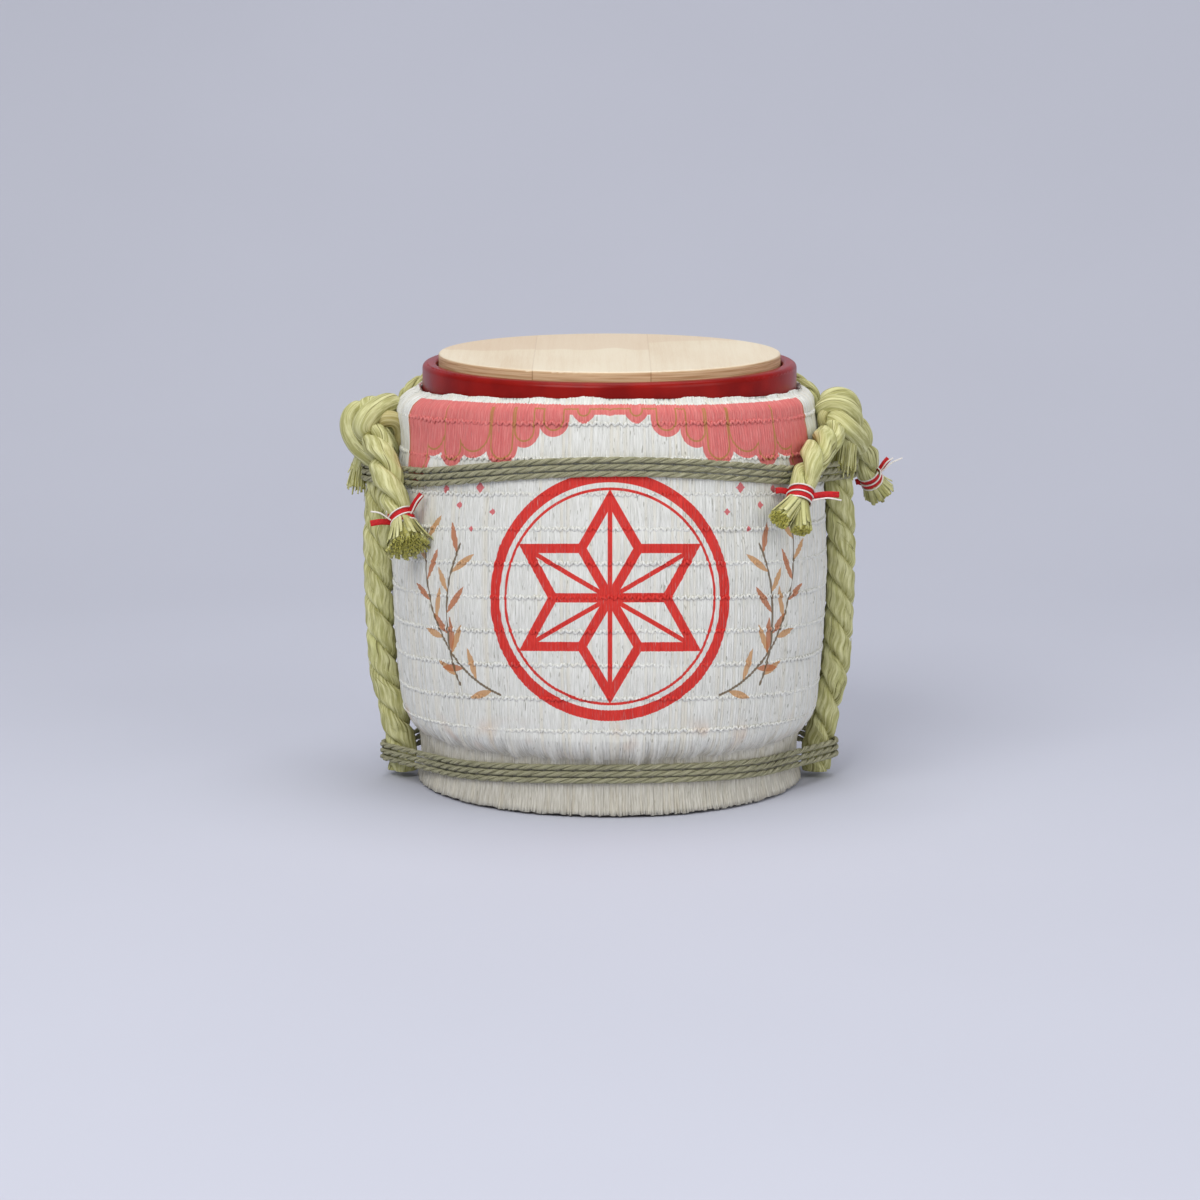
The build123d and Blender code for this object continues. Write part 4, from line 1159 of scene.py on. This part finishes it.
def brush(heap, start, end, root_radius, end_radius, straws, ragged, thick, leaves=0):
    """Cut straws that fan out from a tied neck, with broader leaves outside; the cut ends are olive."""
    way = unit(end - start)
    side = unit(np.cross(way, (0.2, 0.9, 0.4)))
    other = np.cross(way, side)
    long = np.linalg.norm(end - start)
    flare = np.clip((BRUSH_RISE - 0.22) / 0.78, 0, 1) ** 1.2
    for k in range(straws):
        share = math.sqrt((k + 0.5) / straws)
        angle = k * GOLDEN_ANGLE + chance.normal(0, 0.12)
        out = math.cos(angle) * side + math.sin(angle) * other
        fan = root_radius + (end_radius * chance.uniform(0.9, 1.08) - root_radius) * flare
        reach = long + chance.normal(-0.1 - 0.9 * (1 - share), 0.45) * ragged
        points = start + way * (BRUSH_RISE * reach)[:, None] + out * (share * fan)[:, None]
        olive = BRUSH_OLIVE + 0.4 * BRUSH_RISE * (1 - share)
        thin_straw(heap, points, thick * chance.uniform(0.75, 1.2), 5, -olive[:, None])
    for k in range(leaves):
        angle = (k + chance.uniform(-0.3, 0.3)) / leaves * 2 * math.pi
        out = math.cos(angle) * side + math.sin(angle) * other
        fan = root_radius + (end_radius * chance.uniform(0.98, 1.16) - root_radius) * BRUSH_RISE ** 1.3
        reach = long * chance.uniform(0.86, 1.02)
        points = start + way * (BRUSH_RISE * reach)[:, None] + out * (fan + 0.3 * MM)[:, None]
        thin_straw(heap, points, chance.uniform(0.9, 1.5) * MM, 6, 0.0, 0.22, out)
    path = Path(np.linspace(start, start + (end - start) * BRUSH_CORE_LENGTH, 6), 1.0 * MM)
    opened = np.clip((path.s / path.length - 0.25) / 0.75, 0, 1)
    radius = (root_radius + (end_radius - root_radius) * opened) * BRUSH_CORE_RADIUS
    strand(heap, path, radius, radius, 24, 0.06, tone=-BRUSH_CORE_OLIVE)


def make_tail(name, finish):
    """Two-strand tail from its knot to its tie, and the brushes of its cut end."""
    stations, brushes = TAILS[name]
    stations = np.array(stations) * MM
    path = Path(stations[:, :3], 0.7 * MM)
    radius = np.interp(path.s / path.length, np.linspace(0, 1, len(stations)), stations[:, 3])
    heap = Heap("lay")
    rope(heap, path, radius * TAIL_SWELL, TAIL_PITCH, 40, 0.03, TAIL_START, STRAW_BACK_TURN)
    neck = path.p[-1]
    root_radius = radius[-1] * BRUSH_ROOTS[len(brushes)]
    leaves = TAIL_LEAVES // len(brushes)
    for end, half_width, straws in brushes:
        end = np.array(end) * MM
        root = neck - unit(end - neck) * MM
        brush(heap, root, end, root_radius, half_width * MM, straws, TAIL_RAGGED, TAIL_STRAW, leaves)
    heap.piece(f"tail_{name}_strands", finish, "thick_rope", [f"tail_{name}"])
    return neck, unit(path.t[-1]), radius[-1]


def make_stub(name, finish):
    """Short frayed rope end that hangs under a knot."""
    top, middle, end, root, tip, straws = STUBS[name]
    middle, end = np.array(middle), np.array(end)
    heap = Heap("lay")
    bundle(heap, (top, middle, middle * 0.6 + end * 0.4), root, root * 0.9, STUB_MIDDLE)
    brush(heap, middle * MM, end * MM, root * MM, tip * MM, straws, STUB_RAGGED, STUB_STRAW)
    return heap.piece(f"tail_{name}_frayed", finish, "thick_rope", [f"tail_{name}"])


def wound(neck, way, radius, turns):
    """Path of a cord wound round a tail, with its side directions outward."""
    side = unit(np.cross(way, (0.0, 0.0, 1.0)))
    other = np.cross(way, side)
    angle = np.linspace(0, 2 * np.pi * turns, 36 * turns + 1)
    out = np.cos(angle)[:, None] * side + np.sin(angle)[:, None] * other
    along = (angle / (2 * np.pi) - turns / 2) * TIE_PITCH
    path = Path(neck + out * radius + way * along[:, None], 0.5 * MM)
    return path.face(path.p - neck - way * ((path.p - neck) @ way)[:, None])


def loose_end(neck, way, radius, direction, length, lift):
    """A loose end that leaves the wound part on the side of its direction and bends a little."""
    direction = unit(np.array(direction, float))
    flat = unit(direction - way * direction.dot(way))
    root = neck + flat * radius
    tip = root + direction * length * MM
    middle = (root + tip) / 2 + np.array([0, -0.6, lift]) * MM
    inside = neck + flat * radius * 0.8 - direction * MM
    return Path([inside, root, middle, tip], 0.5 * MM).face(np.array([0.1, -1.0, 0.25]))


def make_tie(name, neck, way, radius, papers):
    """Red paper ribbon wound twice round a tail between turns of thin white cord, with loose ends."""
    for colour, part in TIE_PARTS.items():
        piece, turns, deep, wide, sides, ridge, turn_off, end_off, lift = part
        paths = [wound(neck, way, radius + turn_off, turns)]
        for direction, length, along in TIES[name][colour]:
            paths.append(loose_end(neck + way * along * MM, way, radius + end_off, direction, length, lift))
        heap = Heap("lay")
        for path in paths:
            strand(heap, path, deep, wide, sides, ridge)
        heap.piece(f"tie_{name}_{piece}", papers[colour], f"tie_{colour}", [f"tie_{name}_{colour}"])


# Studio


def make_sweep():
    """Pale grey paper that runs from the floor up behind in one bend."""
    line = [(SWEEP_FRONT, 0.0)]
    for angle in np.linspace(0, math.pi / 2, 40):
        line.append((SWEEP_BEND_START + SWEEP_BEND * math.sin(angle), SWEEP_BEND * (1 - math.cos(angle))))
    line.append((SWEEP_BEND_START + SWEEP_BEND, SWEEP_TOP))
    verts = [(x, y, z) for y, z in line for x in (-SWEEP_HALF_WIDTH, SWEEP_HALF_WIDTH)]
    faces = [(2 * i, 2 * i + 1, 2 * i + 3, 2 * i + 2) for i in range(len(line) - 1)]
    mesh = bpy.data.meshes.new("sweep")
    mesh.from_pydata(verts, [], faces)
    mesh.shade_smooth()
    finish = Finish("sweep_paper", Roughness=0.9, Specular_IOR_Level=0.1)
    fibre = finish.noise(finish.place(), 3.0)
    mesh.materials.append(finish.set(finish.mix(fibre, linear(196, 198, 210), linear(202, 204, 216))))
    sweep = bpy.data.objects.new("sweep", mesh)
    bpy.context.scene.collection.objects.link(sweep)


def make_light():
    """Even pale light all round, and the soft lamps."""
    world = bpy.data.worlds.new("studio")
    world.use_nodes = True
    background = world.node_tree.nodes["Background"]
    background.inputs["Color"].default_value = linear(236, 237, 240)
    background.inputs["Strength"].default_value = WORLD_STRENGTH
    bpy.context.scene.world = world
    for name, place, size, power in LAMPS:
        light = bpy.data.lights.new(name, "AREA")
        light.size = size
        light.energy = power
        lamp = bpy.data.objects.new(name, light)
        lamp.location = place
        lamp.rotation_euler = (Vector(LAMP_AIM) - Vector(place)).to_track_quat("-Z", "Y").to_euler()
        bpy.context.scene.collection.objects.link(lamp)


def make_camera():
    camera = bpy.data.objects.new("camera", bpy.data.cameras.new("camera"))
    camera.data.lens = CAMERA_LENS
    camera.data.sensor_width = CAMERA_SENSOR
    camera.location = CAMERA_PLACE
    camera.rotation_euler = (math.radians(CAMERA_PITCH), 0, 0)
    bpy.context.scene.collection.objects.link(camera)
    bpy.context.scene.camera = camera
    bpy.context.scene.view_settings.view_transform = "Standard"


def paint(names, finish):
    """Give CAD nodes a finish."""
    for name in names:
        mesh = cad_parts[name].data
        mesh.materials.clear()
        mesh.materials.append(finish)


# Mat and lashings
thick_rope = rope_finish("thick_rope", linear(222, 220, 168), linear(166, 163, 100), linear(200, 202, 134))
thin_rope = rope_finish("thin_rope", linear(196, 192, 160), linear(124, 122, 94), linear(160, 160, 128))
straw_mat = straw_mat_finish()
mat = make_mat(straw_mat)
twining = make_twining(straw_mat)
make_side_rope("side_rope_left", -1, thick_rope)
make_side_rope("side_rope_right", 1, thick_rope)
upper_rope_x = side_radius(UPPER_BINDING_FRONT - UPPER_BINDING_DIP) + SIDE_ROPE_RADIUS + SIDE_ROPE_GAP
upper_run = (UPPER_BINDING_FRONT, UPPER_BINDING_DIP, side_radius, upper_rope_x)
lower_run = (LOWER_BINDING_FRONT, LOWER_BINDING_DIP, lambda z: WAIST_RADIUS, LOWER_ROPE_X)
make_binding("binding_rope_upper", *upper_run, thin_rope)
make_binding("binding_rope_lower", *lower_run, thin_rope)
make_shoulder_rope(thick_rope)
for side_name in KNOTS:
    make_knot(side_name, thick_rope)
for stub_name in STUBS:
    make_stub(stub_name, thick_rope)
tie_papers = {
    "red": paper_finish("tie_red", linear(204, 26, 32), linear(168, 14, 20)),
    "white": paper_finish("tie_white", linear(244, 240, 234), linear(222, 214, 206)),
}
for tail_name in TAILS:
    neck_place, neck_way, neck_radius = make_tail(tail_name, thick_rope)
    make_tie(tail_name, neck_place, neck_way, neck_radius, tie_papers)

# Tub, lid and rim
cedar = (linear(222, 190, 146), linear(180, 136, 90))
for number, tone in enumerate(STAVE_TONES):
    staves = [f"stave_{k:02d}" for k in range(1, STAVE_COUNT + 1) if k % len(STAVE_TONES) == number]
    paint(staves, wood_finish(f"stave_cedar_{number}", *cedar, "Z", STAVE_SHIFT * number, tone))
for number, (board, tone) in enumerate(BOARD_TONES.items()):
    shift = BOARD_SHIFT * number
    paint([f"bottom_board_{board}"], wood_finish(f"bottom_cedar_{board}", *cedar, "Y", shift, tone))
    paint([f"lid_board_{board}"], lid_finish(f"lid_wood_{board}", shift, tone, *LID_BACK_SHADE[board]))
bamboo = wood_finish("bamboo", linear(206, 186, 128), linear(164, 138, 80), "Z")
paint(["hoop_upper", "hoop_middle", "hoop_lower", "bottom_dowels", "lid_dowels"], bamboo)
paint(["mouth_rim"], lacquer_finish())

make_sweep()
make_light()
make_camera()
